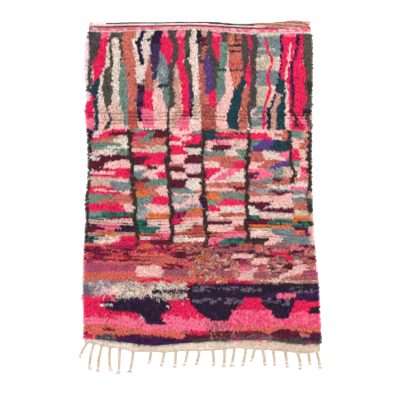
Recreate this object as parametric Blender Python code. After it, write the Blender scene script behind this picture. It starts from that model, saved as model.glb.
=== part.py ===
"""A boujad rug lying flat: a hand-knotted wool shag with a hemmed head end, a flat-woven foot band and knotted tassels.

Metres, +Z up. The origin is on the floor at the middle of the rug with its tassels, +X runs across the
rug and +Y runs along it towards the hemmed head end.
"""

from collections import namedtuple
from functools import lru_cache

import bmesh
import bpy
from mathutils import Vector, noise

# Thicknesses of the cloth
PILE_HEIGHT = 0.019
RIM_HEIGHT = 0.010
FLAT_WEAVE_HEIGHT = 0.004
PIECE_GAP = 0.0003

# The pile: one row of knots to each row of the solid, with lumps where the wool parts and clumps
KNOT_ROWS = 93
ROW_RIDGE = 0.0014
LUMP_HEIGHT = 0.0075
LUMP_SIZE = 0.085
LUMP_SEED = 7.3
RIM_REACH = 0.040
LUMP_SHARE_AT_RIM = 0.35
SETTLING_TURNS = 4

# The fold that the rug was stored on, a soft trough down its middle
FOLD_DEPTH = 0.006
FOLD_HALF_WIDTH = 0.014
FOLD_LIP = 0.0015

# The locks of wool that hang over the two sides, one to a row of knots
LOCK_INSET = 0.009
LOCK_LENGTH = 0.010
LOCK_STRAY = 0.006
LOCK_TIP_HEIGHT = 0.004
LOCK_TIP_SHARE = 0.35
LOCK_LEAN = 0.006
LOCK_SEED = 31.7
LEAN_SEED = 40.7
STRAY_STEP = 0.83

# The sides of the rug at some distances along it, which wander as hand weaving does
Side = namedtuple("Side", "y left right")
SIDES = (
    Side(-0.980, -0.744, 0.768),
    Side(-0.653, -0.749, 0.762),
    Side(-0.397, -0.736, 0.737),
    Side(-0.173, -0.734, 0.724),
    Side(0.051, -0.722, 0.719),
    Side(0.435, -0.726, 0.718),
    Side(0.883, -0.722, 0.718),
    Side(1.127, -0.716, 0.711),
)
FOOT_SIDE = SIDES[0]

# The lines that run across the rug: the outer edge of the head hem, the end of the pile and the foot edge
Across = namedtuple("Across", "x head pile_end")
ACROSS = (
    Across(-0.74, 1.126, -0.893),
    Across(-0.62, 1.122, -0.906),
    Across(-0.48, 1.116, -0.922),
    Across(-0.30, 1.122, -0.941),
    Across(-0.12, 1.127, -0.928),
    Across(0.06, 1.126, -0.918),
    Across(0.29, 1.110, -0.908),
    Across(0.46, 1.118, -0.911),
    Across(0.62, 1.130, -0.932),
    Across(0.77, 1.130, -0.929),
)
HEM_DEPTH = 0.064

# The head hem's own section, from its rolled outer edge to the first row of knots
Fold = namedtuple("Fold", "share height")
HEM_SECTION = (
    Fold(0.00, 0.006),
    Fold(0.10, 0.012),
    Fold(0.28, 0.011),
    Fold(0.42, 0.006),
    Fold(0.62, 0.009),
    Fold(0.82, 0.006),
)

# The tassels from left to right: where each leaves the foot, where it bends and where it ends
Tassel = namedtuple("Tassel", "root_x root_y bend_x tip_x tip_y knots")
TASSELS = (
    Tassel(-0.722, -0.928, -0.750, -0.769, -1.021, 1),
    Tassel(-0.678, -0.935, -0.700, -0.704, -1.104, 1),
    Tassel(-0.627, -0.947, -0.646, -0.650, -1.120, 1),
    Tassel(-0.573, -0.960, -0.578, -0.564, -1.112, 1),
    Tassel(-0.512, -0.966, -0.516, -0.522, -1.131, 1),
    Tassel(-0.426, -0.985, -0.436, -0.451, -1.123, 1),
    Tassel(-0.314, -0.986, -0.318, -0.326, -1.059, 1),
    Tassel(-0.227, -0.991, -0.238, -0.246, -1.078, 1),
    Tassel(-0.154, -0.984, -0.156, -0.163, -1.088, 1),
    Tassel(-0.080, -0.981, -0.088, -0.099, -1.075, 1),
    Tassel(-0.003, -0.981, -0.013, -0.026, -1.069, 1),
    Tassel(0.083, -0.978, 0.088, 0.090, -1.078, 1),
    Tassel(0.157, -0.972, 0.156, 0.154, -1.085, 1),
    Tassel(0.221, -0.963, 0.212, 0.198, -1.082, 1),
    Tassel(0.294, -0.966, 0.284, 0.269, -1.078, 1),
    Tassel(0.349, -0.972, 0.338, 0.326, -1.046, 1),
    Tassel(0.400, -0.973, 0.412, 0.416, -1.075, 1),
    Tassel(0.470, -0.979, 0.476, 0.480, -1.075, 1),
    Tassel(0.547, -0.985, 0.554, 0.560, -1.088, 2),
    Tassel(0.624, -0.994, 0.640, 0.640, -1.100, 2),
    Tassel(0.694, -0.996, 0.700, 0.704, -1.066, 1),
    Tassel(0.748, -0.986, 0.761, 0.768, -1.094, 1),
)
ROOT_HALF_WIDTH = 0.008
STRIP_DEPTH = 0.008
SCALLOP_DEPTH = 0.005
SCALLOP_REACH = 0.030
BAND_SETBACK = 0.004
TOP_NARROWING = 0.7

# The sections of a tassel along its length, which end in one knot or two and a frayed tuft
Section = namedtuple("Section", "share half_width height")
PLAIT = (
    Section(0.08, 0.0065, 0.009),
    Section(0.20, 0.0048, 0.008),
    Section(0.32, 0.0060, 0.009),
    Section(0.44, 0.0046, 0.008),
    Section(0.56, 0.0058, 0.009),
    Section(0.68, 0.0046, 0.008),
)
LAST_KNOT = (
    Section(0.76, 0.0050, 0.008),
    Section(0.82, 0.0098, 0.014),
    Section(0.87, 0.0094, 0.013),
    Section(0.92, 0.0046, 0.007),
)
TUFT = (Section(1.00, 0.0085, 0.004),)
EXTRA_KNOT = (
    Section(0.60, 0.0092, 0.013),
    Section(0.65, 0.0088, 0.012),
    Section(0.69, 0.0045, 0.008),
)

WOOL_PINK = (0.62, 0.10, 0.19, 1.0)
WOOL_CREAM = (0.80, 0.72, 0.60, 1.0)


def curve_at(places, values, at):
    """The value at a place on a smooth curve through values at rising places."""
    last = len(places) - 1
    at = min(max(at, places[0]), places[last])
    right = next(i for i in range(1, last + 1) if at <= places[i])
    left = right - 1
    before = max(left - 1, 0)
    after = min(right + 1, last)
    run = places[right] - places[left]
    share = (at - places[left]) / run
    slope_in = (values[right] - values[before]) / (places[right] - places[before]) * run
    slope_out = (values[after] - values[left]) / (places[after] - places[left]) * run
    squared = share * share
    cubed = squared * share
    return (
        values[left] * (2 * cubed - 3 * squared + 1)
        + slope_in * (cubed - 2 * squared + share)
        + values[right] * (3 * squared - 2 * cubed)
        + slope_out * (cubed - squared)
    )


def sides_at(y):
    """The left and right edge of the slab at a distance along the rug, inside the tips of its side locks."""
    places = [row.y for row in SIDES]
    left = curve_at(places, [row.left for row in SIDES], y)
    right = curve_at(places, [row.right for row in SIDES], y)
    return left + LOCK_INSET, right - LOCK_INSET


def across_at(x):
    """The outer edge of the head hem and the end of the pile at a distance across the rug."""
    places = [row.x for row in ACROSS]
    head = curve_at(places, [row.head for row in ACROSS], x)
    pile_end = curve_at(places, [row.pile_end for row in ACROSS], x)
    return head, pile_end


def foot_at(x):
    """The foot edge of the flat-woven band, which each tassel draws out into a scallop."""
    roots = [tassel.root_x for tassel in TASSELS]
    outer = [tassel.root_y + STRIP_DEPTH for tassel in TASSELS]
    line = curve_at(roots, outer, x)
    nearest = min(abs(x - root) for root in roots)
    return line + SCALLOP_DEPTH * min(nearest / SCALLOP_REACH, 1.0)


@lru_cache
def fold_x_at_foot():
    """The fold meets the foot midway between the two tassels in the middle."""
    middle = len(TASSELS) // 2
    return (TASSELS[middle - 1].root_x + TASSELS[middle].root_x) / 2


@lru_cache
def column_shares():
    """Each column's share of the way across: at the sides, midway between tassels, and three at the fold."""
    roots = [tassel.root_x for tassel in TASSELS]
    between = [(a + b) / 2 for a, b in zip(roots, roots[1:])]
    beside_fold = [fold_x_at_foot() - FOLD_HALF_WIDTH, fold_x_at_foot() + FOLD_HALF_WIDTH]
    columns = sorted([FOOT_SIDE.left, FOOT_SIDE.right] + between + beside_fold)
    return [share_across(x) for x in columns]


def share_across(x):
    """A place's share of the way across the rug at its foot."""
    return (x - FOOT_SIDE.left) / (FOOT_SIDE.right - FOOT_SIDE.left)


def pile_height(x, y, left, right, row):
    """The top of the pile: lower at the rim and in the fold, lumpy, with a ridge for every second row of knots."""
    if row in (0, KNOT_ROWS):
        return RIM_HEIGHT
    fold_x = left + (right - left) * share_across(fold_x_at_foot())
    inside = min(x - left, right - x) / RIM_REACH
    rise = min(max(inside, 0.0), 1.0)
    level = RIM_HEIGHT + (PILE_HEIGHT - RIM_HEIGHT) * rise * (2 - rise)
    lump = noise.noise(Vector((x / LUMP_SIZE, y / LUMP_SIZE, LUMP_SEED))) * LUMP_HEIGHT
    ridge = ROW_RIDGE if row % 2 else -ROW_RIDGE
    off_fold = abs(x - fold_x) / FOLD_HALF_WIDTH
    trough = FOLD_DEPTH * max(1 - off_fold, 0.0)
    lip = FOLD_LIP * max(1 - abs(off_fold - 1), 0.0)
    unevenness = (lump + ridge) * (LUMP_SHARE_AT_RIM + (1 - LUMP_SHARE_AT_RIM) * rise)
    return level + unevenness - trough + lip


def row_sections():
    """The rows of the rug from head to foot, as (zone, place in the zone) pairs."""
    hem = [("hem", fold) for fold in HEM_SECTION]
    pile = [("pile", row) for row in range(KNOT_ROWS + 1)]
    foot = [("foot", share) for share in (0.0, 0.5, 1.0)]
    return hem + pile + foot


def point_on_top(section, share):
    """The point of the rug's top that lies in one row and one column."""
    zone, place = section
    y = 0.0
    # The row's distance along the rug depends a little on x, and x on the sides there, so it settles in turns.
    for _ in range(SETTLING_TURNS):
        left, right = sides_at(y)
        x = left + (right - left) * share
        head, pile_end = across_at(x)
        pile_start = head - HEM_DEPTH
        if zone == "hem":
            y = head - HEM_DEPTH * place.share
            height = place.height
        elif zone == "pile":
            y = pile_start + (pile_end - pile_start) * place / KNOT_ROWS
            height = pile_height(x, y, left, right, place)
        else:
            y = (pile_end - BAND_SETBACK) * (1 - place) + foot_at(x) * place
            height = FLAT_WEAVE_HEIGHT
    return Vector((x, y, height))


def stray(index, seed):
    """A fixed wandering value between about -1 and 1."""
    return 2 * noise.noise(Vector((index * STRAY_STEP, seed, 0.5)))


def add_side_locks(mesh, walls):
    """Each wall face of the pile's two sides drawn out into a lock that lies level on the floor."""
    grown = bmesh.ops.extrude_discrete_faces(mesh, faces=walls)["faces"]
    for index, face in enumerate(grown):
        middle = face.calc_center_median()
        outward = 1.0 if middle.x > 0 else -1.0
        reach = LOCK_LENGTH + LOCK_STRAY * stray(index, LOCK_SEED)
        lean = LOCK_LEAN * stray(index, LEAN_SEED)
        for vert in face.verts:
            above = vert.co.z > 0
            vert.co.y = middle.y + (vert.co.y - middle.y) * LOCK_TIP_SHARE + lean
            vert.co.x += outward * reach
            vert.co.z = LOCK_TIP_HEIGHT if above else 0.0


def make_rug():
    """The one piece of cloth: head hem, knotted pile with its rim of locks, and flat-woven foot band."""
    sections = row_sections()
    shares = column_shares()
    rows, columns = len(sections) - 1, len(shares) - 1
    mesh = bmesh.new()
    bmesh.ops.create_grid(mesh, x_segments=columns, y_segments=rows, size=0.5)
    for vert in mesh.verts:
        column = round((vert.co.x + 0.5) * columns)
        row = round((0.5 - vert.co.y) * rows)
        vert.co = point_on_top(sections[row], shares[column])
    rim = [edge for edge in mesh.edges if edge.is_boundary]
    lowered = bmesh.ops.extrude_edge_only(mesh, edges=rim)["geom"]
    for vert in lowered:
        if isinstance(vert, bmesh.types.BMVert):
            vert.co.z = 0.0
    walls = [face for face in lowered if isinstance(face, bmesh.types.BMFace)]
    under = [edge for edge in mesh.edges if edge.is_boundary]
    bmesh.ops.contextual_create(mesh, geom=under)
    bmesh.ops.recalc_face_normals(mesh, faces=mesh.faces)
    pile_from = point_on_top(("pile", 0), 0.0).y
    pile_to = point_on_top(("pile", KNOT_ROWS), 0.0).y
    beside = [
        face
        for face in walls
        if abs(face.normal.x) > 0.9 and pile_to < face.calc_center_median().y < pile_from
    ]
    add_side_locks(mesh, beside)
    bmesh.ops.recalc_face_normals(mesh, faces=mesh.faces)
    return finish("rug", mesh, wool("pile_wool", WOOL_PINK))


def strip_stations():
    """The strip's places across the rug: the foot's columns, and both sides of each tassel's root."""
    roots = [tassel.root_x for tassel in TASSELS]
    sides_of_roots = [root + side * ROOT_HALF_WIDTH for root in roots for side in (-1, 1)]
    columns = [corner.x for corner in foot_corners()]
    return sorted(sides_of_roots + columns)


def tassel_sections(tassel):
    """The sections that one tassel runs through from its root."""
    if tassel.knots == 1:
        return PLAIT + LAST_KNOT + TUFT
    before = tuple(section for section in PLAIT if section.share < EXTRA_KNOT[0].share)
    return before + EXTRA_KNOT + LAST_KNOT + TUFT


def tassel_point(tassel, share):
    """A point on the tassel's middle line, a parabola through its root, bend and tip, and its direction."""
    root_weight = (1 - share) * (1 - 2 * share)
    bend_weight = 4 * share * (1 - share)
    tip_weight = share * (2 * share - 1)
    x = tassel.root_x * root_weight + tassel.bend_x * bend_weight + tassel.tip_x * tip_weight
    y = tassel.root_y + (tassel.tip_y - tassel.root_y) * share
    slope = (
        tassel.root_x * (4 * share - 3) + tassel.bend_x * (4 - 8 * share) + tassel.tip_x * (4 * share - 1)
    )
    ahead = Vector((slope, tassel.tip_y - tassel.root_y, 0.0)).normalized()
    return Vector((x, y, 0.0)), ahead


def add_tassel(mesh, root, tassel):
    """One plaited strand of four sides, drawn out of its face on the strip, its underside on the floor."""
    face = root
    for section in tassel_sections(tassel):
        face = bmesh.ops.extrude_discrete_faces(mesh, faces=[face])["faces"][0]
        middle, ahead = tassel_point(tassel, section.share)
        across = Vector((-ahead.y, ahead.x, 0.0))
        low_to_high = sorted(face.verts, key=lambda vert: vert.co.z)
        for level, pair in ((0.0, low_to_high[:2]), (section.height, low_to_high[2:])):
            narrowing = TOP_NARROWING if level else 1.0
            left, right = sorted(pair, key=lambda vert: vert.co.x)
            left.co = middle - across * section.half_width * narrowing
            right.co = middle + across * section.half_width * narrowing
            left.co.z = level
            right.co.z = level


def make_fringe():
    """The narrow strip along the foot that the tassels' roots are fused into, with its tassels."""
    stations = strip_stations()
    rows, columns = 1, len(stations) - 1
    mesh = bmesh.new()
    bmesh.ops.create_grid(mesh, x_segments=columns, y_segments=rows, size=0.5)
    for vert in mesh.verts:
        x = stations[round((vert.co.x + 0.5) * columns)]
        inner = foot_line_of_columns(x) - PIECE_GAP
        along = inner if vert.co.y > 0 else inner - STRIP_DEPTH
        vert.co = Vector((x, along, FLAT_WEAVE_HEIGHT))
    rim = [edge for edge in mesh.edges if edge.is_boundary]
    lowered = bmesh.ops.extrude_edge_only(mesh, edges=rim)["geom"]
    for vert in lowered:
        if isinstance(vert, bmesh.types.BMVert):
            vert.co.z = 0.0
    walls = [face for face in lowered if isinstance(face, bmesh.types.BMFace)]
    bmesh.ops.contextual_create(mesh, geom=[edge for edge in mesh.edges if edge.is_boundary])
    bmesh.ops.recalc_face_normals(mesh, faces=mesh.faces)
    outer = [face for face in walls if face.normal.y < -0.5]
    places = [face.calc_center_median().x for face in outer]
    for tassel in TASSELS:
        nearest = min(range(len(outer)), key=lambda i: abs(places[i] - tassel.root_x))
        add_tassel(mesh, outer[nearest], tassel)
    bmesh.ops.recalc_face_normals(mesh, faces=mesh.faces)
    return finish("fringe", mesh, wool("warp_wool", WOOL_CREAM))


@lru_cache
def foot_corners():
    """Where the rug's columns end on its foot edge."""
    return [point_on_top(("foot", 1.0), share) for share in column_shares()]


def foot_line_of_columns(x):
    """The rug's foot edge as its columns draw it, straight from one column to the next."""
    corners = foot_corners()
    x = min(max(x, corners[0].x), corners[-1].x)
    right = next(i for i in range(1, len(corners)) if x <= corners[i].x)
    start, end = corners[right - 1], corners[right]
    share = (x - start.x) / (end.x - start.x)
    return start.y + (end.y - start.y) * share


def wool(name, colour):
    """Matt wool of one colour."""
    material = bpy.data.materials.new(name)
    material.use_nodes = True
    shader = material.node_tree.nodes["Principled BSDF"]
    shader.inputs["Base Color"].default_value = colour
    shader.inputs["Roughness"].default_value = 0.95
    shader.inputs["Metallic"].default_value = 0.0
    return material


def finish(name, mesh, material):
    """The named object of one modelled mesh, in the rug's collection."""
    data = bpy.data.meshes.new(name)
    mesh.to_mesh(data)
    mesh.free()
    data.materials.append(material)
    piece = bpy.data.objects.new(name, data)
    bpy.data.collections["boujad_rug"].objects.link(piece)
    return piece


def main():
    for old in list(bpy.data.objects):
        bpy.data.objects.remove(old)
    collection = bpy.data.collections.new("boujad_rug")
    bpy.context.scene.collection.children.link(collection)
    make_rug()
    make_fringe()


main()
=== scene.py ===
"""The looks of a boujad rug laid out flat, seen from straight above.

Metres, +Z up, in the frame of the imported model: +X runs across the rug and +Y along it towards its hemmed
head end. The pile is modelled lock by lock. The charts give the traditional pattern as stripes, lattice,
bands and stepped peaks. Their places are pixels of the 400 by 400 photograph, each PIXEL wide on the floor.
"""

from collections import namedtuple

import bpy
import numpy as np
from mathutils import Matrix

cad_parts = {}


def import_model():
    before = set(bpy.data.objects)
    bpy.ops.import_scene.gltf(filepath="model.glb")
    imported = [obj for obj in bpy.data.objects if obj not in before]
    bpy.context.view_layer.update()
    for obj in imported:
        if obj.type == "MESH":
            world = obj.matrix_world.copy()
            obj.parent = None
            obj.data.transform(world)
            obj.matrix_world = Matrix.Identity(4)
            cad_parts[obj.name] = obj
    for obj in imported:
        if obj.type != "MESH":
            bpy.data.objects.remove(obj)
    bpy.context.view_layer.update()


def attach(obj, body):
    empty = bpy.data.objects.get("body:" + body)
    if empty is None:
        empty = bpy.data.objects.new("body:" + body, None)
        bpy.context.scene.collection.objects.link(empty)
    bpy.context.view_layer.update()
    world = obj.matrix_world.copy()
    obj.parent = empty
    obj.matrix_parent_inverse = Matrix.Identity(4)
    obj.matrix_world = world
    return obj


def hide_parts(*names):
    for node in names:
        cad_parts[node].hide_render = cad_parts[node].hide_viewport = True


# The photograph's scale, and the pixel that lies over the frame's origin
PIXEL = 0.0064
ORIGIN_COLUMN = 200
ORIGIN_ROW = 198

# Thicknesses of the cloth, as in the solids
PILE_HEIGHT = 0.019
RIM_HEIGHT = 0.010
FLAT_WEAVE_HEIGHT = 0.004
GROUND_SHARE = 0.52
# The ground's painted shade between the locks: the share of each yarn's colour that it keeps, more for pale
# yarns
GROUND_SHADE_SHARE = 0.62
PALE_GROUND_SHADE_SHARE = 0.25
RIM_REACH = 0.040
LUMP_HEIGHT = 0.0035
LUMP_SIZE = 0.045
FOLD_DEPTH = 0.006
FOLD_HALF_WIDTH = 0.014
FOLD_SHARE = 0.5185
LOCK_INSET = 0.009
LOWEST_LOCK = 0.002

# The knots and the locks of wool that stand on them
KNOT_ROWS = 93
KNOT_WIDTH = 0.0076
LOCKS_IN_ROW = 720
LOCK_RADIUS = 0.0027
LOCK_REACH = 0.020
ROOT_SPREAD = 0.0113
LOCK_FAN = 0.0042
LOCK_UNEVENNESS = 0.0016
SIDE_LOCKS = 5
SIDE_LOCK_REACH = 0.019
STRAY_ROW = 126.5
SHAGGY_LOCKS = 1500
SHAGGY_RADIUS = 0.0019
CREST_RISE = 0.0062
TIP_DROP = 0.0025
ROW_SHIFT = 0.007
CREASE_SHIFT = 0.005
PARTING_REACH = 0.030
PARTING_LEAN = 0.012
OVERHANG_REACH = 0.012
OVERHANG_LEAN = 0.007
COMBED_SWAY = 0.008

# Where the rounds that place a knot or a row of the ground start from
FIRST_KNOT_Y = 0.88
KNOT_ROW_PITCH = 0.022
HEM_START_Y = 1.0
FOOT_START_Y = -0.93
PLACE_ROUNDS = 4

# The ground cloth's grid
GROUND_COLUMNS = 198
HEM_ROWS = 32
FOOT_ROWS = 26
RIB_HEIGHT = 0.0009
HEM_RIBS = 150

# The outline. The sides follow the photograph's edges, which a scratch program found in steps of 10 rows.
# The head's edge and the end of the pile are given at listed places.
Side = namedtuple("Side", "y left right")
SIDES = (
    Side(-0.954, -0.748, 0.776),
    Side(-0.826, -0.744, 0.775),
    Side(-0.698, -0.747, 0.767),
    Side(-0.570, -0.747, 0.762),
    Side(-0.442, -0.746, 0.748),
    Side(-0.250, -0.739, 0.731),
    Side(-0.122, -0.731, 0.724),
    Side(-0.058, -0.735, 0.723),
    Side(0.006, -0.735, 0.721),
    Side(0.070, -0.723, 0.718),
    Side(0.198, -0.717, 0.716),
    Side(0.326, -0.718, 0.715),
    Side(0.454, -0.726, 0.717),
    Side(0.518, -0.732, 0.716),
    Side(0.582, -0.734, 0.716),
    Side(0.646, -0.725, 0.718),
    Side(0.774, -0.733, 0.721),
    Side(0.838, -0.738, 0.722),
    Side(0.966, -0.730, 0.722),
    Side(1.030, -0.723, 0.721),
    Side(1.127, -0.712, 0.713),
)

Across = namedtuple("Across", "x head pile_end")
ACROSS = (
    Across(-0.74, 1.128, -0.893),
    Across(-0.62, 1.125, -0.906),
    Across(-0.48, 1.127, -0.922),
    Across(-0.30, 1.127, -0.941),
    Across(-0.12, 1.130, -0.928),
    Across(0.06, 1.130, -0.918),
    Across(0.29, 1.121, -0.908),
    Across(0.46, 1.123, -0.911),
    Across(0.62, 1.130, -0.932),
    Across(0.77, 1.130, -0.929),
)

# The tassels from left to right: where each leaves the foot, where it bends and where it ends
Tassel = namedtuple("Tassel", "root_x root_y bend_x tip_x tip_y knots")
TASSELS = (
    Tassel(-0.722, -0.928, -0.750, -0.769, -1.021, 1),
    Tassel(-0.678, -0.935, -0.700, -0.704, -1.104, 1),
    Tassel(-0.627, -0.947, -0.646, -0.650, -1.120, 1),
    Tassel(-0.573, -0.960, -0.578, -0.564, -1.112, 1),
    Tassel(-0.512, -0.966, -0.516, -0.522, -1.131, 1),
    Tassel(-0.426, -0.985, -0.436, -0.451, -1.123, 1),
    Tassel(-0.314, -0.986, -0.318, -0.326, -1.059, 1),
    Tassel(-0.227, -0.991, -0.238, -0.246, -1.078, 1),
    Tassel(-0.154, -0.984, -0.156, -0.163, -1.088, 1),
    Tassel(-0.080, -0.981, -0.088, -0.099, -1.075, 1),
    Tassel(-0.003, -0.981, -0.013, -0.026, -1.069, 1),
    Tassel(0.083, -0.978, 0.088, 0.090, -1.078, 1),
    Tassel(0.157, -0.972, 0.156, 0.154, -1.085, 1),
    Tassel(0.221, -0.963, 0.212, 0.198, -1.082, 1),
    Tassel(0.294, -0.966, 0.284, 0.269, -1.078, 1),
    Tassel(0.349, -0.972, 0.338, 0.326, -1.046, 1),
    Tassel(0.400, -0.973, 0.412, 0.416, -1.075, 1),
    Tassel(0.470, -0.979, 0.476, 0.480, -1.075, 1),
    Tassel(0.547, -0.985, 0.554, 0.560, -1.088, 2),
    Tassel(0.624, -0.994, 0.640, 0.640, -1.100, 2),
    Tassel(0.694, -0.996, 0.700, 0.704, -1.066, 1),
    Tassel(0.748, -0.986, 0.761, 0.768, -1.094, 1),
)
STRIP_DEPTH = 0.008
SCALLOP_DEPTH = 0.0018
SCALLOP_REACH = 0.030
PLY_RADIUS = 0.0043
PLY_TURN = 0.026
PLY_STATIONS = 58
TASSEL_HEIGHT = 0.0076
KNOT_SHARE = 0.82
EXTRA_KNOT_SHARE = 0.60
KNOT_STATIONS = 34
KNOT_HALF_LENGTH = 0.0042
KNOT_REACH = 0.0066
KNOT_RADIUS = 0.0036
KNOT_HEIGHT = 0.0088
TUFT_THREADS = 11
TUFT_SPREAD = 0.0052
TUFT_RADIUS = 0.0018
ROOT_THREADS = 10
ROOT_HALF_WIDTH = 0.013
ROOT_THREAD_RADIUS = 0.0016
WEFT_FROM_X = -0.730
WEFT_TO_X = 0.752
WEFT_STATIONS = 420
WEFT_RADIUS = 0.0018
WEFT_TURN = 0.012
TASSEL_CORD = (190, 170, 146)
TASSEL_TUFT = (214, 198, 186)

# The dyed yarns, as a colour picker shows them
YARNS = {
    "crimson": (239, 22, 90),
    "hot_pink": (255, 119, 153),
    "blush": (246, 194, 188),
    "cream": (229, 212, 203),
    "lilac": (232, 197, 204),
    "salmon": (206, 114, 100),
    "coral": (209, 118, 98),
    "terracotta": (192, 86, 74),
    "orange": (228, 120, 56),
    "tan": (206, 160, 140),
    "beige": (206, 188, 168),
    "sage": (116, 144, 130),
    "blue_grey": (128, 140, 145),
    "emerald": (42, 122, 104),
    "teal": (20, 62, 76),
    "charcoal": (80, 69, 72),
    "olive": (86, 78, 68),
    "dark_brown": (58, 42, 38),
    "dark_purple": (38, 12, 44),
    "indigo": (66, 18, 84),
    "violet": (98, 62, 138),
    "plum": (96, 12, 46),
    "magenta": (188, 30, 94),
    "mauve": (190, 84, 120),
    "grey_lilac": (158, 138, 150),
    "wine": (130, 26, 50),
    "rust": (168, 70, 58),
    "flame": (229, 109, 96),
    "heather": (172, 98, 110),
    "fleece": (214, 204, 188),
    "silver": (172, 170, 172),
    "sand": (220, 186, 172),
    "aubergine": (72, 46, 92),
    "rose": (250, 82, 124),
    "smoke": (118, 104, 120),
}
YARN_NAMES = list(YARNS)
YARN_COUNT = len(YARN_NAMES)

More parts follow.
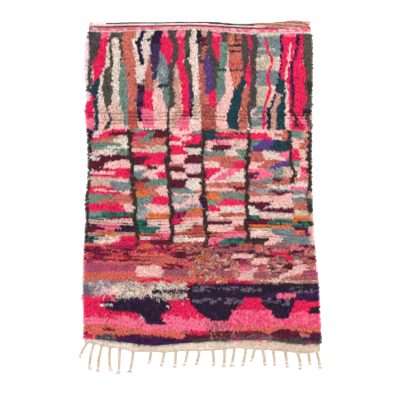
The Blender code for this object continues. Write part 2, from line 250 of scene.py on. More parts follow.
# The charts below read (yarn, then the photograph's row with the left and right column, for each turn).
# A streak with many turns goes on in the next entry. First the stripes of the head end
STRIPES = (
    ("lilac", (32, 80, 90), (92, 80, 90), (93, 80, 91), (102, 80, 91)),
    ("charcoal", (32, 89, 101), (49, 89, 101), (56, 89, 97), (67, 89, 93), (81, 89, 93), (92, 87, 90)),
    ("crimson", (32, 101, 112), (39, 101, 111), (46, 100, 107), (57, 96.5, 107)),
    ("crimson", (57, 96.5, 107), (64, 93, 107.5), (68, 93.5, 105)),
    ("crimson", (68, 93.5, 105), (72, 94, 104), (78, 94.5, 101), (84, 92.5, 96)),
    ("crimson", (92, 90.5, 95), (101, 90.5, 95.5)),
    ("hot_pink", (32, 101, 112), (38, 101, 111)),
    ("crimson", (101, 80, 94), (121, 80, 95)),
    ("hot_pink", (119, 80, 95), (130, 80, 94)),
    ("teal", (78, 97, 100), (85, 92.5, 100), (91, 88.5, 101), (95, 92, 100)),
    ("teal", (95, 92, 100), (98, 95.5, 99.5), (103, 92, 98.5)),
    ("teal", (103, 92, 98.5), (109, 95, 100), (115, 95.5, 102), (121, 95.5, 102), (130, 93.5, 100)),
    ("cream", (37, 109, 111), (63, 106, 110), (72, 103, 106), (82, 100, 103)),
    ("cream", (82, 100, 103), (104, 98, 105), (129, 100, 107)),
    ("cream", (38, 112, 119), (67, 112, 122), (104, 111, 120)),
    ("sand", (104, 99, 106), (122, 101, 108)),
    ("sand", (104, 110, 122), (112, 109, 124), (122, 109, 125)),
    ("blush", (121, 99, 125), (130, 98, 126)),
    ("olive", (32, 112, 123), (38, 112, 123)),
    ("olive", (37, 109, 112.5), (44, 109.5, 112), (66, 110, 113), (68, 106, 112), (74, 105, 112)),
    ("olive", (74, 105, 112), (90, 102, 111), (100, 104, 112), (106, 107, 110)),
    ("olive", (106, 107, 109), (116, 108, 110), (121, 110, 113), (129, 103, 109)),
    ("salmon", (31, 123, 137), (44, 121, 133), (60, 124, 136), (75, 127, 137), (115, 127, 137)),
    ("olive", (38, 118.5, 122.5), (46, 119.5, 122.8), (52, 121, 124), (60, 120.5, 123.5), (67, 120, 122.5)),
    ("dark_brown", (40.5, 123.5, 127), (42.2, 123.5, 127)),
    ("dark_brown", (58, 124.5, 127.5), (59.8, 124.5, 127.5)),
    ("wine", (73.5, 127, 130.5), (75.2, 127, 130.5)),
    ("terracotta", (110, 126, 137), (130, 128, 138)),
    ("wine", (121.5, 129, 134.5), (123.5, 129, 134.5)),
    ("sage", (61, 122, 124), (68, 121, 126), (80, 119, 127), (100, 119, 128)),
    ("sage", (100, 119, 128), (111, 121, 127), (114, 124, 127)),
    ("blue_grey", (115, 124, 128), (127, 124, 128)),
    ("cream", (30, 136, 155), (42, 133, 151), (52, 134, 151), (60, 136, 149), (67, 136, 147)),
    ("dark_purple", (30, 141, 144.5), (41, 136.5, 141), (52, 138, 141.5), (63, 140, 143), (67, 138.5, 141)),
    ("dark_brown", (39, 146, 151), (41.5, 146, 151)),
    ("cream", (66, 136, 143), (76, 136, 144), (83, 139, 144)),
    ("salmon", (55, 149, 151), (66, 146, 151), (79, 145, 153), (82, 143, 157), (91, 142, 157)),
    ("emerald", (80, 141, 147), (82.5, 141, 147)),
    ("dark_purple", (30, 156, 165), (38, 151, 161.5), (52, 150, 160)),
    ("aubergine", (45, 151, 160), (52, 149.5, 160), (63, 151, 160.5), (80, 153, 157)),
    ("crimson", (30, 165, 168), (38, 161.5, 169), (42, 160, 173), (53, 161, 173)),
    ("crimson", (53, 161, 173), (60, 166, 172), (67, 168, 171)),
    ("hot_pink", (30, 165, 169), (37, 161.5, 169)),
    ("blue_grey", (53, 160, 162), (60, 160, 166), (70, 158, 168), (84, 159, 168)),
    ("silver", (68, 161, 165), (72, 160, 166), (76, 162, 165)),
    ("sage", (84, 162, 169), (102, 162, 169), (110, 166, 169)),
    ("dark_purple", (83, 137, 143), (97, 137, 144), (123, 138, 143)),
    ("aubergine", (93, 137, 144), (102, 137, 143)),
    ("violet", (107, 139, 143), (113, 139, 143)),
    ("crimson", (91, 144, 153), (101, 143, 153), (111, 143, 153)),
    ("hot_pink", (110, 142, 153), (129, 143, 155)),
    ("blush", (83, 154, 162), (102, 154, 164), (110, 154, 167), (129, 155, 167)),
    ("teal", (84, 158.5, 169), (87.2, 158.5, 169)),
    ("charcoal", (30, 168, 178), (38, 169, 178), (42, 173, 180), (62, 172, 179)),
    ("charcoal", (62, 172, 179), (66, 168, 175), (80, 167.5, 173)),
    ("charcoal", (80, 168, 173), (95, 169, 175), (107, 169, 175), (110, 167, 170), (129, 166, 169)),
    ("tan", (66, 174, 179), (80, 173, 180), (111, 175, 181), (120, 170, 182), (129, 170, 180)),
    ("crimson", (38, 177.5, 184.5), (60, 178.5, 184.5), (63, 176, 184.5), (71, 178.5, 187), (79, 179.5, 190)),
    ("crimson", (79, 179.5, 190), (86, 181.5, 190), (95, 181.5, 189.5), (105, 182, 189.5), (117, 181, 190)),
    ("hot_pink", (30, 177, 184), (38, 175, 184)),
    ("hot_pink", (117, 179, 189), (130, 178, 189)),
    ("olive", (30, 184, 191), (56, 185, 190), (70, 185, 191), (78, 188, 193), (85, 190, 195)),
    ("aubergine", (83, 189.5, 195.5), (92, 189.5, 195.5), (97, 188.5, 194), (105, 188.5, 193.5)),
    ("dark_purple", (105, 188.5, 193.5), (112, 189, 192.5), (119, 189.5, 191.5)),
    ("cream", (30, 191, 197), (46, 190, 199), (63, 190, 199), (80, 193, 197)),
    ("cream", (80, 193, 197), (96, 194, 200), (130, 191, 201)),
    ("beige", (95, 194.5, 199), (106, 193, 200), (119, 191.5, 201)),
    ("blush", (124, 189, 201), (130, 189, 201)),
    ("dark_purple", (30, 196, 201.5), (44, 196.5, 201.5)),
    ("charcoal", (44, 198, 203), (64, 198, 203)),
    ("tan", (31, 202, 207), (37, 202, 207)),
    ("plum", (37, 201, 208), (46, 201, 208)),
    ("salmon", (46, 203, 207), (60, 202, 206), (66, 198, 206), (106, 201, 211)),
    ("plum", (60, 201, 207), (64, 201, 207)),
    ("terracotta", (106, 202, 216), (131, 200, 217)),
    ("charcoal", (31, 207, 214), (46, 207, 214), (57, 205, 217)),
    ("charcoal", (57, 210, 219), (81, 212, 219), (91, 212, 216)),
    ("violet", (56.5, 206.5, 209), (61, 203, 212), (70, 203.5, 212), (80, 205, 212), (95, 206.5, 212)),
    ("crimson", (31, 213, 222), (50, 213, 221), (56, 216, 220), (62, 218, 221)),
    ("hot_pink", (31, 214, 222), (37, 214, 222)),
    ("charcoal", (33, 222, 229), (43, 222, 229)),
    ("sage", (42, 221, 229), (50, 221, 228), (57, 219, 228), (65, 219, 228)),
    ("sage", (65, 219, 228), (81, 216, 226), (94, 216, 226), (107, 216, 222)),
    ("teal", (69, 218, 227), (71, 218, 227)),
    ("crimson", (91, 209, 217), (107, 209, 217)),
    ("blush", (66, 226, 229), (72, 225, 231), (84, 225, 235), (94, 225, 235)),
    ("blush", (94, 225, 235), (99, 222, 233), (107, 217, 231)),
    ("blush", (107, 217, 231), (112, 216, 229), (131, 216, 227)),
    ("coral", (34, 228, 243), (66, 229, 243), (72, 229, 244), (80, 232, 243), (88, 234, 241)),
    ("charcoal", (33, 235, 237), (43, 235, 237)),
    ("plum", (39.5, 237, 241), (41.5, 237, 241)),
    ("dark_purple", (45, 228, 244), (47, 228, 244)),
    ("dark_purple", (51, 229, 242), (52.6, 229, 242)),
    ("crimson", (63, 231, 242), (65, 231, 242)),
    ("dark_purple", (70, 229, 245), (71.6, 229, 245)),
    ("charcoal", (32, 242, 248), (57, 242, 250), (75, 243, 248), (82, 244, 246)),
    ("teal", (76, 241, 246), (84, 240, 246), (88, 235, 244), (115, 227, 239), (131, 226, 238)),
    ("crimson", (34, 247, 252), (50, 249, 252), (57, 250, 252)),
    ("coral", (56, 249, 252), (62, 249, 253)),
    ("crimson", (62, 248, 254), (70, 247, 254), (78, 245, 252), (88, 246, 250)),
    ("salmon", (88, 244, 250), (96, 242, 250), (131, 238, 246)),
    ("charcoal", (33, 251, 258), (72, 251, 258), (90, 250, 258), (107, 247, 256)),
    ("charcoal", (107, 247, 256), (109, 248, 251), (131, 248, 251)),
    ("beige", (32, 258, 282), (110, 256, 268), (131, 251, 268)),
    ("blue_grey", (36, 258, 281), (57, 258, 281)),
    ("beige", (48.6, 259, 276), (50.2, 259, 276)),
    ("beige", (56, 260, 268), (60, 257, 269)),
    ("blue_grey", (71, 258, 279), (86, 257, 277)),
    ("blue_grey", (107, 255, 268), (115, 253, 267)),
    ("blue_grey", (118, 251, 266), (127, 251, 266)),
    ("crimson", (38, 263, 266), (64, 270, 273), (77, 266, 269), (90, 269, 272)),
    ("crimson", (90, 269, 272), (105, 263, 266), (131, 262, 265)),
    ("tan", (93, 274, 281), (104, 274, 281), (108, 271, 277), (131, 269, 277)),
    ("dark_purple", (34, 280, 284), (57, 280, 284), (73, 279, 283), (95, 274, 277)),
    ("dark_purple", (95, 274, 277), (110, 267, 271), (131, 267, 271)),
    ("teal", (77, 279, 286), (80, 277, 287), (90, 277, 285), (95, 280, 285)),
    ("teal", (95, 280, 285), (104, 280, 285), (108, 276, 285)),
    ("teal", (108, 276, 285), (131, 276, 286)),
    ("crimson", (33, 283, 303), (62, 281, 302), (66, 280, 304), (78, 281, 306), (84, 288, 304)),
    ("crimson", (84, 288, 304), (92, 288, 306), (104, 288, 306), (112, 289, 303)),
    ("crimson", (112, 289, 303), (120, 290, 304), (131, 290, 309)),
    ("hot_pink", (33, 284, 296), (37, 284, 296)),
    ("cream", (43, 289.2, 291.4), (56, 287, 289.4), (79, 284.6, 287)),
    ("blush", (82, 285, 288), (131, 285, 288.5)),
    ("hot_pink", (118, 289, 309), (131, 289, 309)),
    ("crimson", (121, 291, 300), (131, 291, 307)),
    ("dark_purple", (34, 296, 300), (45, 295, 299), (52, 294, 297.5), (58, 293.5, 297)),
    ("indigo", (58, 292.5, 296), (66, 290.3, 293.5), (85, 290.3, 293.5), (100, 291.3, 294.7)),
    ("dark_brown", (100, 291, 294), (112, 290, 294), (116, 293, 297), (128, 295, 298)),
    ("olive", (32, 303, 320), (60, 302, 320), (66, 304, 320), (78, 306, 320), (84, 304, 320), (92, 306, 320)),
    ("olive", (92, 306, 320), (104, 306, 320), (112, 303, 320), (131, 309, 320)),
    ("dark_brown", (80, 307, 320), (93, 308, 320)),
    ("dark_brown", (32, 310, 320), (36, 310, 320)),
    ("dark_purple", (109, 303, 320), (114, 303, 320)),
    ("tan", (116, 308, 320), (120, 309, 320)),
)

# The lattice: its dark posts, and in each of its six columns the yarns from left to right in each band,
# with the photograph's row that the band ends on
POSTS = (
    ("dark_brown", (129, 80, 92), (195, 80, 90), (244, 80, 88)),
    ("dark_purple", (129, 80, 93), (136, 80, 93)),
    ("indigo", (176, 80, 90.5), (181, 80, 90.5)),
    ("dark_brown", (130, 127.2, 131.9), (200, 132.2, 136.8), (244, 136.5, 140.5)),
    ("dark_brown", (128, 165.5, 169.8), (185, 166.5, 170.5), (200, 169, 173), (244, 170.5, 175)),
    ("dark_brown", (129, 200, 204.2), (180, 200.5, 204.5), (200, 202, 207), (244, 205.5, 210)),
    ("dark_purple", (194, 200, 205.5), (207, 201, 206.5)),
    ("dark_brown", (130, 247, 250.8), (182, 245, 249), (244, 245.5, 249.2)),
    ("dark_brown", (130, 288, 291), (164, 288.5, 292), (172, 292, 296), (184, 289, 293)),
    ("dark_brown", (130, 306.6, 324), (188, 306.9, 324), (228, 308.4, 324)),
    ("tan", (191, 308.5, 324), (198, 308.5, 324)),
    ("olive", (198, 308.5, 324), (203, 308.5, 324)),
    ("tan", (213, 308.5, 324), (222, 309, 324)),
    ("sand", (226, 309, 324), (243, 309, 324)),
)
POST_ROWS = (130, 200, 244)
POST_COLUMNS = (
    (85, 129, 168, 202, 248, 290, 308.5),
    (83, 134, 170, 206, 247, 292, 308.5),
    (81, 138, 172, 208, 247, 292, 310),
)
LATTICE = (
    (
        (133.4, "lilac lilac crimson crimson crimson"),
        (136.6, "lilac lilac crimson plum plum"),
        (142.5, "crimson salmon cream"),
        (146.5, "sage sage sage cream"),
        (149.5, "sage sage cream cream"),
        (151.5, "salmon cream sage"),
        (155.5, "lilac cream sage"),
        (161, "cream plum plum"),
        (168, "plum blush"),
        (171, "lilac plum crimson crimson"),
        (174, "lilac blush crimson"),
        (177, "crimson"),
        (181, "sand"),
        (186.5, "sand blue_grey"),
        (189.5, "crimson crimson blue_grey"),
        (192, "crimson blush blush"),
        (194.5, "crimson crimson crimson blush"),
        (198, "sage sage salmon"),
        (203.5, "sage salmon salmon"),
        (211, "crimson crimson crimson blush"),
        (216, "blue_grey emerald emerald"),
        (219, "emerald emerald wine wine"),
        (224, "sand blush"),
        (229.5, "plum hot_pink dark_purple"),
        (232.3, "plum hot_pink dark_purple dark_purple"),
        (236, "tan orange tan"),
        (246, "emerald cream crimson"),
    ),
    (
        (132.5, "sage sage plum plum plum"),
        (138, "crimson crimson sage plum plum"),
        (142, "crimson sage sage salmon salmon"),
        (146, "salmon"),
        (149, "salmon beige"),
        (153, "sand beige"),
        (157, "crimson"),
        (165, "plum plum crimson crimson crimson"),
        (170, "cream plum blush"),
        (172.5, "blue_grey blush blush"),
        (178.5, "blue_grey blush crimson"),
        (182, "wine wine sage sage"),
        (187, "terracotta sage sage"),
        (190, "terracotta salmon blush"),
        (197, "orange salmon blush"),
        (205, "sage crimson"),
        (212.5, "silver blush blush"),
        (220, "silver orange orange"),
        (226, "emerald blush blush"),
        (233, "emerald emerald blush"),
        (238, "terracotta terracotta hot_pink"),
        (240.5, "cream hot_pink crimson"),
        (246, "crimson plum plum"),
    ),
    (
        (134, "blush blush sage"),
        (136, "blush crimson"),
        (141.5, "crimson blush crimson"),
        (145, "blush crimson"),
        (148.7, "crimson dark_brown"),
        (154.5, "crimson cream"),
        (164, "blush plum"),
        (167, "salmon lilac"),
        (172.5, "plum lilac"),
        (179, "blush plum"),
        (188.5, "plum cream"),
        (191, "sage sage blush"),
        (193.5, "sage sage coral"),
        (196, "blush"),
        (204, "silver blush"),
        (208.5, "blush grey_lilac"),
        (211, "blue_grey orange"),
        (215.5, "magenta orange"),
        (218, "magenta hot_pink hot_pink"),
        (225, "crimson blush blush"),
        (233, "cream terracotta"),
        (237, "terracotta"),
        (242, "cream"),
        (246, "terracotta"),
    ),
    (
        (133, "teal teal tan tan tan"),
        (134.6, "teal teal crimson plum plum"),
        (137, "teal crimson crimson"),
        (140, "teal teal crimson crimson"),
        (145, "blush hot_pink sand sand"),
        (150.5, "blush plum plum sand sand"),
        (156.5, "sage sage cream sage"),
        (162, "salmon salmon salmon sage"),
        (168.5, "blush salmon crimson"),
        (180, "crimson crimson crimson cream hot_pink hot_pink cream cream"),
        (182.5, "cream"),
        (187, "salmon"),
        (190.5, "blush blush plum"),
        (193, "salmon"),
        (199.5, "orange sage sage"),
        (206, "sage crimson crimson"),
        (211.5, "crimson cream cream"),
        (213, "cream"),
        (217, "blush terracotta terracotta"),
        (220.5, "blush"),
        (225, "plum plum blush"),
        (232, "blush blush terracotta"),
        (237, "terracotta hot_pink hot_pink"),
        (246, "hot_pink emerald emerald"),
    ),
    (
        (133, "blush blush blush salmon"),
        (139.5, "crimson crimson blush salmon"),
        (151, "sage sage violet violet violet teal teal teal"),
        (161, "salmon cream hot_pink"),
        (168, "blush salmon violet"),
        (172, "hot_pink hot_pink sage sage sand"),
        (177.5, "plum hot_pink hot_pink sage sand"),
        (180.5, "hot_pink hot_pink sage plum salmon"),
        (184, "sage sage salmon salmon"),
        (187.5, "salmon salmon cream cream"),
        (190.5, "silver silver blue_grey blue_grey"),
        (193.5, "salmon silver plum plum"),
        (196, "salmon salmon plum blush"),
        (201, "blush"),
        (207, "plum plum blush blush"),
        (212.5, "cream plum plum plum"),
        (215.5, "cream"),
        (219.5, "emerald blush blush"),
        (225, "plum plum emerald emerald"),
        (229, "orange"),
        (232.5, "cream cream blue_grey blue_grey"),
        (237, "blush blush blue_grey"),
        (246, "dark_brown dark_brown blush blue_grey"),
    ),
    (
        (139, "sage sage tan"),
        (149.5, "blush blush salmon"),
        (160, "crimson sand"),
        (166.5, "sage blush"),
        (172.5, "blush crimson"),
        (178, "cream hot_pink"),
        (182, "salmon"),
        (186.5, "cream"),
        (190, "hot_pink"),
        (194.5, "blue_grey"),
        (197, "blush"),
        (202, "blue_grey"),
        (207, "salmon"),
        (210, "salmon terracotta"),
        (216, "beige"),
        (222, "orange"),
        (225, "orange emerald"),
        (228, "emerald"),
        (231, "plum"),
        (236, "terracotta salmon magenta"),
        (246, "blue_grey"),
    ),
)

# How far the lattice's bands tilt, the rows over which that sets in, and the slant of the joins in a band
BAND_TILT = 2.2
TILT_REACH = 16
JOIN_SLANT = 0.028

# The photograph's rows where the zones start, and how long the teeth of the knot rows are in each
LATTICE_TOP = 130
MOTTLED_TOP = 244.5
NIGHT_TOP = 284
STRIPE_TOOTH = 2.8
DASH_TOOTH = 8.0
MOTTLED_TOOTH = 2.0
PEAK_TOOTH = 3.2

# How far the pattern moves on within a row of knots, the rows where the curly fleece and the ground of
# the peaks start, and the column where the mottled band's left part gives way to its right
ROW_SHARE = 2.6
CURLS_TOP = 281
PEAK_GROUND_TOP = 299
MOTTLED_JOIN = 186

# Yarns that were spun or dyed unevenly: some of their knots are of another yarn
BLENDS = (
    ("sage", "blue_grey", 0.18),
    ("blue_grey", "sage", 0.22),
    ("charcoal", "olive", 0.30),
    ("olive", "dark_brown", 0.26),
    ("dark_purple", "indigo", 0.26),
    ("indigo", "dark_purple", 0.30),
    ("cream", "beige", 0.14),
    ("blush", "cream", 0.18),
    ("crimson", "hot_pink", 0.05),
    ("hot_pink", "crimson", 0.10),
    ("salmon", "terracotta", 0.20),
    ("coral", "salmon", 0.35),
    ("emerald", "teal", 0.28),
    ("terracotta", "coral", 0.25),
    ("flame", "coral", 0.22),
    ("heather", "mauve", 0.25),
    ("tan", "sand", 0.25),
    ("beige", "cream", 0.20),
    ("grey_lilac", "fleece", 0.26),
    ("grey_lilac", "smoke", 0.20),
    ("silver", "blue_grey", 0.35),
    ("sand", "blush", 0.30),
    ("aubergine", "indigo", 0.25),
    ("rose", "hot_pink", 0.40),
    ("magenta", "plum", 0.24),
    ("mauve", "magenta", 0.12),
    ("orange", "coral", 0.25),
    ("plum", "wine", 0.15),
)

# The wool along the fold stands parted, and some of its locks take mostly darker rust, wine and dark brown
# yarns, with some tan, as the fold's painted shade.
# Each patch: the photograph's top and bottom row, its left and right column, and the share of such locks.
FOLD_PATCHES = (
    (33, 46, 201, 208, 0.30),
    (60, 104, 199, 205.5, 0.55),
    (104, 130, 201, 215, 0.55),
    (130, 245, 201, 208, 0.16),
    (245, 284, 196, 216, 0.50),
    (322, 338, 206, 231, 0.55),
)
FOLD_SHADE_YARNS = "rust wine tan rust dark_brown"

# Rows of knots that stand parted by a crease across the rug, and the share along each such row from which its
# locks are painted darker as the crease's shade
CREASE_ROWS = ((110, 124), (217, 240))
CREASE_FILL = 0.6
CREASE_SHADE_FROM = 0.76

# The mottled band below the lattice: the yarns of its left and right part, and its dashes that stand out
MOTTLED_LEFT = "plum magenta wine magenta flame magenta flame crimson flame plum flame magenta salmon"
MOTTLED_RIGHT = "plum plum heather salmon plum tan heather flame salmon tan heather sand blush"
MOTTLES = (
    ("flame", (243, 80, 109), (246.5, 80, 109)),
    ("magenta", (245, 109, 138), (249, 114, 138)),
    ("magenta", (248.5, 128, 168), (251.5, 134, 172)),
    ("magenta", (245.5, 80, 94), (249, 80, 98)),
    ("flame", (253.5, 136, 160), (256, 132, 174), (260, 140, 172)),
    ("flame", (261.5, 95, 150), (264, 95, 150)),
    ("plum", (249.5, 95, 112), (252, 95, 112)),
    ("plum", (252, 172, 186), (258, 176, 188)),
    ("salmon", (259, 150, 186), (262, 150, 186)),
    ("wine", (264, 163, 174), (266, 168, 184)),
    ("wine", (267.5, 159, 172), (269.5, 164, 178)),
    ("crimson", (255.5, 118, 124), (258, 116, 127)),
    ("magenta", (256, 128, 160), (257.6, 132, 168)),
    ("wine", (259.3, 118, 148), (260.7, 126, 158)),
    ("heather", (270, 160, 188), (277, 164, 188)),
    ("plum", (243, 228, 238), (247, 228, 238)),
    ("heather", (249, 216, 240), (252, 216, 240)),
    ("plum", (264, 284, 292), (269, 284, 292)),
    ("crimson", (264, 258, 264), (267, 258, 264)),
    ("orange", (245, 139, 153), (249, 139, 153)),
    ("mauve", (263, 80, 118), (272, 80, 122)),
    ("mauve", (265, 112, 136), (273, 112, 136)),
    ("blush", (265.5, 137.5, 161), (271, 136, 163), (277, 135.5, 161)),
    ("flame", (272, 80, 136), (281, 80, 136)),
    ("flame", (277, 136, 205), (284, 136, 205)),
    ("crimson", (279, 140, 172), (282, 140, 172)),
    ("orange", (255, 197, 212), (260, 197, 212)),
    ("terracotta", (243, 239, 250), (248, 239, 250)),
    ("coral", (245, 256, 266), (249, 256, 266)),
    ("heather", (245, 266, 290), (249, 266, 290)),
    ("hot_pink", (248, 290, 306), (250, 290, 306)),
    ("crimson", (252, 270, 287), (255, 270, 287)),
    ("blush", (254, 233, 255), (259, 231, 252)),
    ("blush", (259, 254, 270), (265, 250, 266)),
    ("magenta", (260, 239, 248), (264, 239, 248)),
    ("crimson", (256, 285, 293), (261, 285, 293)),
    ("blue_grey", (256, 294, 300), (259, 294, 300)),
    ("hot_pink", (268, 241, 252), (275, 241, 252)),
    ("heather", (270, 215, 235), (276, 215, 235)),
    ("mauve", (271, 301, 325), (277, 301, 325)),
    ("heather", (273, 254, 278), (278, 253, 274)),
    ("salmon", (281, 252, 270), (283, 252, 268)),
    ("blush", (268, 254, 260), (273, 243, 254), (281, 236, 251)),
    ("blush", (265, 298, 309), (271, 288, 304), (277, 279, 291), (283, 268, 279)),
    ("salmon", (276.5, 290, 325), (278, 286, 325)),
    ("heather", (278, 284, 325), (280.4, 281, 325)),
    ("tan", (280.4, 281, 325), (281.6, 280, 325)),
    ("orange", (277, 212, 236), (280, 210, 232)),
    ("crimson", (280, 202, 217), (284, 202, 217)),
    ("crimson", (280, 227, 253), (284, 227, 253)),
    ("plum", (256, 307, 315), (260, 307, 315)),
    ("salmon", (261, 306, 325), (266, 306, 325)),
)

# The night band, with the shaggy grey and beige wool at its left
NIGHT = (
    ("dark_purple", (283.5, 187, 325), (300, 187, 325)),
    ("indigo", (292, 262, 325), (300, 262, 325)),
    ("dark_brown", (283.5, 240, 325), (285, 240, 325)),
    ("grey_lilac", (281, 80, 136), (295, 80, 136)),
    ("smoke", (284, 80, 88), (295, 80, 96)),
    ("fleece", (282, 128, 187), (286, 108, 187), (290, 116, 187), (301, 116, 180)),
    ("blush", (288, 101, 121), (292, 101, 121)),
    ("dark_purple", (289, 152, 187), (293, 152, 187)),
    ("dark_purple", (294, 145, 150), (298, 145, 150)),
    ("hot_pink", (293, 277, 296), (297.6, 277, 296)),
    ("crimson", (283, 187, 195), (286, 186, 189)),
)

# Where pale flecks show in the dark wool: top and bottom row, left and right column
FLECKS = (
    (286.5, 292, 192, 262),
    (286, 292.5, 288, 318),
    (298, 303, 192, 243),
    (298, 304, 262, 290),
    (299, 302, 108, 120),
    (304.5, 306, 98, 114),
    (334, 341, 95, 117),
    (334, 341, 206, 272),
)

# The stepped peaks, and the bands below them down to the flat-woven foot
PEAKS = (
    ("crimson", (295, 80, 117), (311, 80, 104), (312, 80, 140), (319, 80, 146)),
    ("hot_pink", (318, 80, 325), (331, 80, 325)),
    ("rose", (311, 228, 325), (331, 228, 325)),
    ("flame", (324, 80, 111), (327, 80, 126), (330, 80, 150), (331, 80, 182), (334, 80, 196), (341, 80, 196)),
    ("wine", (327.5, 103, 115), (330.5, 103, 115)),
    ("flame", (326.5, 232, 325), (334, 232, 325)),
    ("dark_purple", (298, 168, 325), (318, 200, 300)),
    ("crimson", (299, 166, 190), (303, 168, 190), (306, 168, 192), (310, 166, 198)),
    ("crimson", (310, 166, 198), (313, 160, 201), (319, 160, 208)),
    ("dark_purple", (297, 118, 166), (300, 104, 168), (302, 100, 169), (305, 102, 171), (309, 105, 172)),
    ("dark_purple", (309, 107, 172), (311, 132, 169), (313, 138, 162), (318, 143, 163), (324, 148, 166)),
    ("dark_purple", (315, 206, 231), (321, 211, 230)),
    ("grey_lilac", (299.3, 107, 119), (301.2, 110, 118)),
    ("lilac", (304, 98, 112), (305.6, 101, 114)),
    ("blush", (305, 166.5, 169), (308, 168, 170)),
    ("lilac", (315, 139.5, 141), (318.5, 142, 144)),
    ("crimson", (297.5, 244, 261), (303, 243.5, 261), (304.5, 240, 263), (307, 237, 266), (310, 235, 267)),
    ("rose", (309.5, 233, 271), (314, 231, 273), (319, 229, 275)),
    ("dark_purple", (312, 273, 292), (318, 275, 290)),
    ("crimson", (299.5, 297, 306), (303, 294.5, 307), (307, 293, 310), (312, 290, 311)),
    ("crimson", (301.5, 306, 325), (307, 306, 325)),
    ("rose", (312, 289, 325), (319, 288, 325)),
    ("dark_purple", (307, 309, 325), (313.5, 310, 325)),
    ("crimson", (330, 190, 208), (334, 190, 208)),
    ("crimson", (329.5, 246, 257), (332, 246, 257)),
    ("wine", (331, 234, 262), (335.5, 234, 272)),
    ("plum", (329, 279, 286), (333, 268, 304), (338, 284, 304)),
    ("plum", (332, 303, 325), (339, 301, 325)),
    ("salmon", (333, 299, 309), (337, 299, 309)),
    ("charcoal", (335, 231, 272), (341, 229, 274)),
    ("charcoal", (338, 272, 325), (348, 272, 325)),
    ("indigo", (337.5, 300, 325), (340, 300, 325)),
    ("crimson", (339, 231, 274), (342, 231, 274)),
    ("crimson", (342.5, 307, 325), (348, 307, 325)),
    ("plum", (334, 184, 214), (339, 184, 214)),
    ("charcoal", (338, 188, 231), (348, 188, 231)),
    ("dark_brown", (332, 80, 88), (335, 80, 88)),
    ("crimson", (333, 86, 93), (338, 84, 93)),
    ("charcoal", (334, 95, 117), (341, 95, 122)),
    ("plum", (334.5, 116, 150), (337, 116, 175), (341, 116, 192)),
    ("indigo", (337, 122, 150), (339.5, 118, 192), (348, 118, 192)),
)

# The rows between which crimson fades into pink below the peaks
FADE_TOP = 312
FADE_END = 322

# The lines of the head hem, as shares of its depth from its outer edge. Its dark wine band at the foot of the
# cream roll is the roll's painted shadow line
HEM_BANDS = ((0.46, "hem_cream"), (0.54, "wine"), (0.83, "hot_pink"), (1.01, "hem_cream"))
HEM_SHARES = (0.00, 0.10, 0.28, 0.42, 0.62, 0.82, 1.00)
HEM_HEIGHTS = (0.004, 0.007, 0.007, 0.005, 0.0075, 0.006, 0.009)

HemDepth = namedtuple("HemDepth", "x depth")
HEM_DEPTHS = (
    HemDepth(-0.72, 0.063),
    HemDepth(-0.51, 0.066),
    HemDepth(-0.42, 0.059),
    HemDepth(-0.06, 0.055),
    HemDepth(0.10, 0.064),
    HemDepth(0.29, 0.073),
    HemDepth(0.51, 0.077),
    HemDepth(0.71, 0.080),
)

# The wools of the roll at the right of the head: its strands, then the knotted ends at the corner
ROLL_WOOLS = {
    "salmon": (178, 112, 102),
    "brown": (126, 94, 76),
    "tan": (182, 136, 122),
    "rust": (150, 88, 78),
    "red": (180, 64, 74),
    "pale": (196, 158, 152),
}
ROLL_WIDTH = 0.046
ROLL_STRANDS = 12
ROLL_STATIONS = 150
ROLL_FROM_X = 0.285
ROLL_TO_X = 0.690
ROLL_WEAVE = 0.21
ROLL_STRAND_RADIUS = 0.0036
ROLL_ENDS = 16
RED_ENDS = 11
ROLL_END_RADIUS = 0.0034

# The hem's cream wool, and the wools of its dark cords and of the loops that bind it: colour and contrast
HEM_CREAM = (192, 180, 172)
HEM_WOOLS = (
    ("hem_maroon", (66, 16, 26), 0.5),
    ("hem_pink", (196, 86, 112), 0.5),
    ("hem_blush", (202, 148, 156), 0.4),
    ("hem_deep_pink", (184, 58, 90), 0.4),
)

HemCord = namedtuple("HemCord", "name wool from_x to_x share height radius turn")
HEM_CORDS = (
    HemCord("hem_edge_cord", "maroon", -0.600, 0.140, 0.15, 0.0095, 0.0022, 0.018),
    HemCord("hem_rust_cord", "maroon", 0.060, 0.345, 0.235, 0.0150, 0.0034, 0.024),
    HemCord("hem_cream_cord", "cream", -0.702, 0.420, 0.34, 0.0118, 0.0034, 0.030),
    # A dark maroon cord along the foot of the cream cord, painted as the shadow line under the roll
    HemCord("hem_shadow_line_cord", "maroon", -0.680, 0.440, 0.50, 0.0100, 0.0022, 0.016),
)
HEM_CORD_STATIONS = 330

# The two rows of loops that bind the hem: from and to which share of its depth, and how pale
STITCH_ROWS = ((0.54, 0.71, -0.30), (0.68, 0.86, 0.30))
STITCH_HEIGHTS = (0.006, 0.0095, 0.0108, 0.0098, 0.0075, 0.006)
STITCHES_IN_ROW = 330
STITCH_FROM_X = -0.703
STITCH_TO_X = 0.702
STITCH_RADIUS = 0.0025

# The ragged cream ends below the hem, and the knob at its left corner
RAGGED_ENDS = 700
RAGGED_FROM_X = -0.705
RAGGED_TO_X = 0.700
RAGGED_RADIUS = 0.0021
KNOB_X = -0.694
KNOB_Y = 1.116
KNOB_REACH = 0.006
KNOB_RADIUS = 0.0032
KNOB_STATIONS = 40

# The tints of the flat-woven foot band, paler at its left end and browner at its right
FOOT_TINTS = {
    "foot_pale": (196, 181, 170),
    "foot_tan": (180, 158, 143),
    "foot_cream": (186, 168, 154),
}
FOOT_PALE_TO = -0.50
FOOT_TAN_FROM = 0.22

# The finish of all wool, and the sizes of its unevenness and of its fibres
WOOL_FINISH = {
    "Roughness": 0.92,
    "Specular IOR Level": 0.12,
    "Sheen Weight": 0.03,
    "Sheen Roughness": 0.5,
}
DYE_SCALE = 14.0
DYE_SHARE = 0.2
FIBRE_SCALE = 900.0
FIBRE_STRENGTH = 0.6
FIBRE_DEPTH = 0.0012

# The side of the table of random numbers behind each smooth noise
NOISE_TABLE = 128

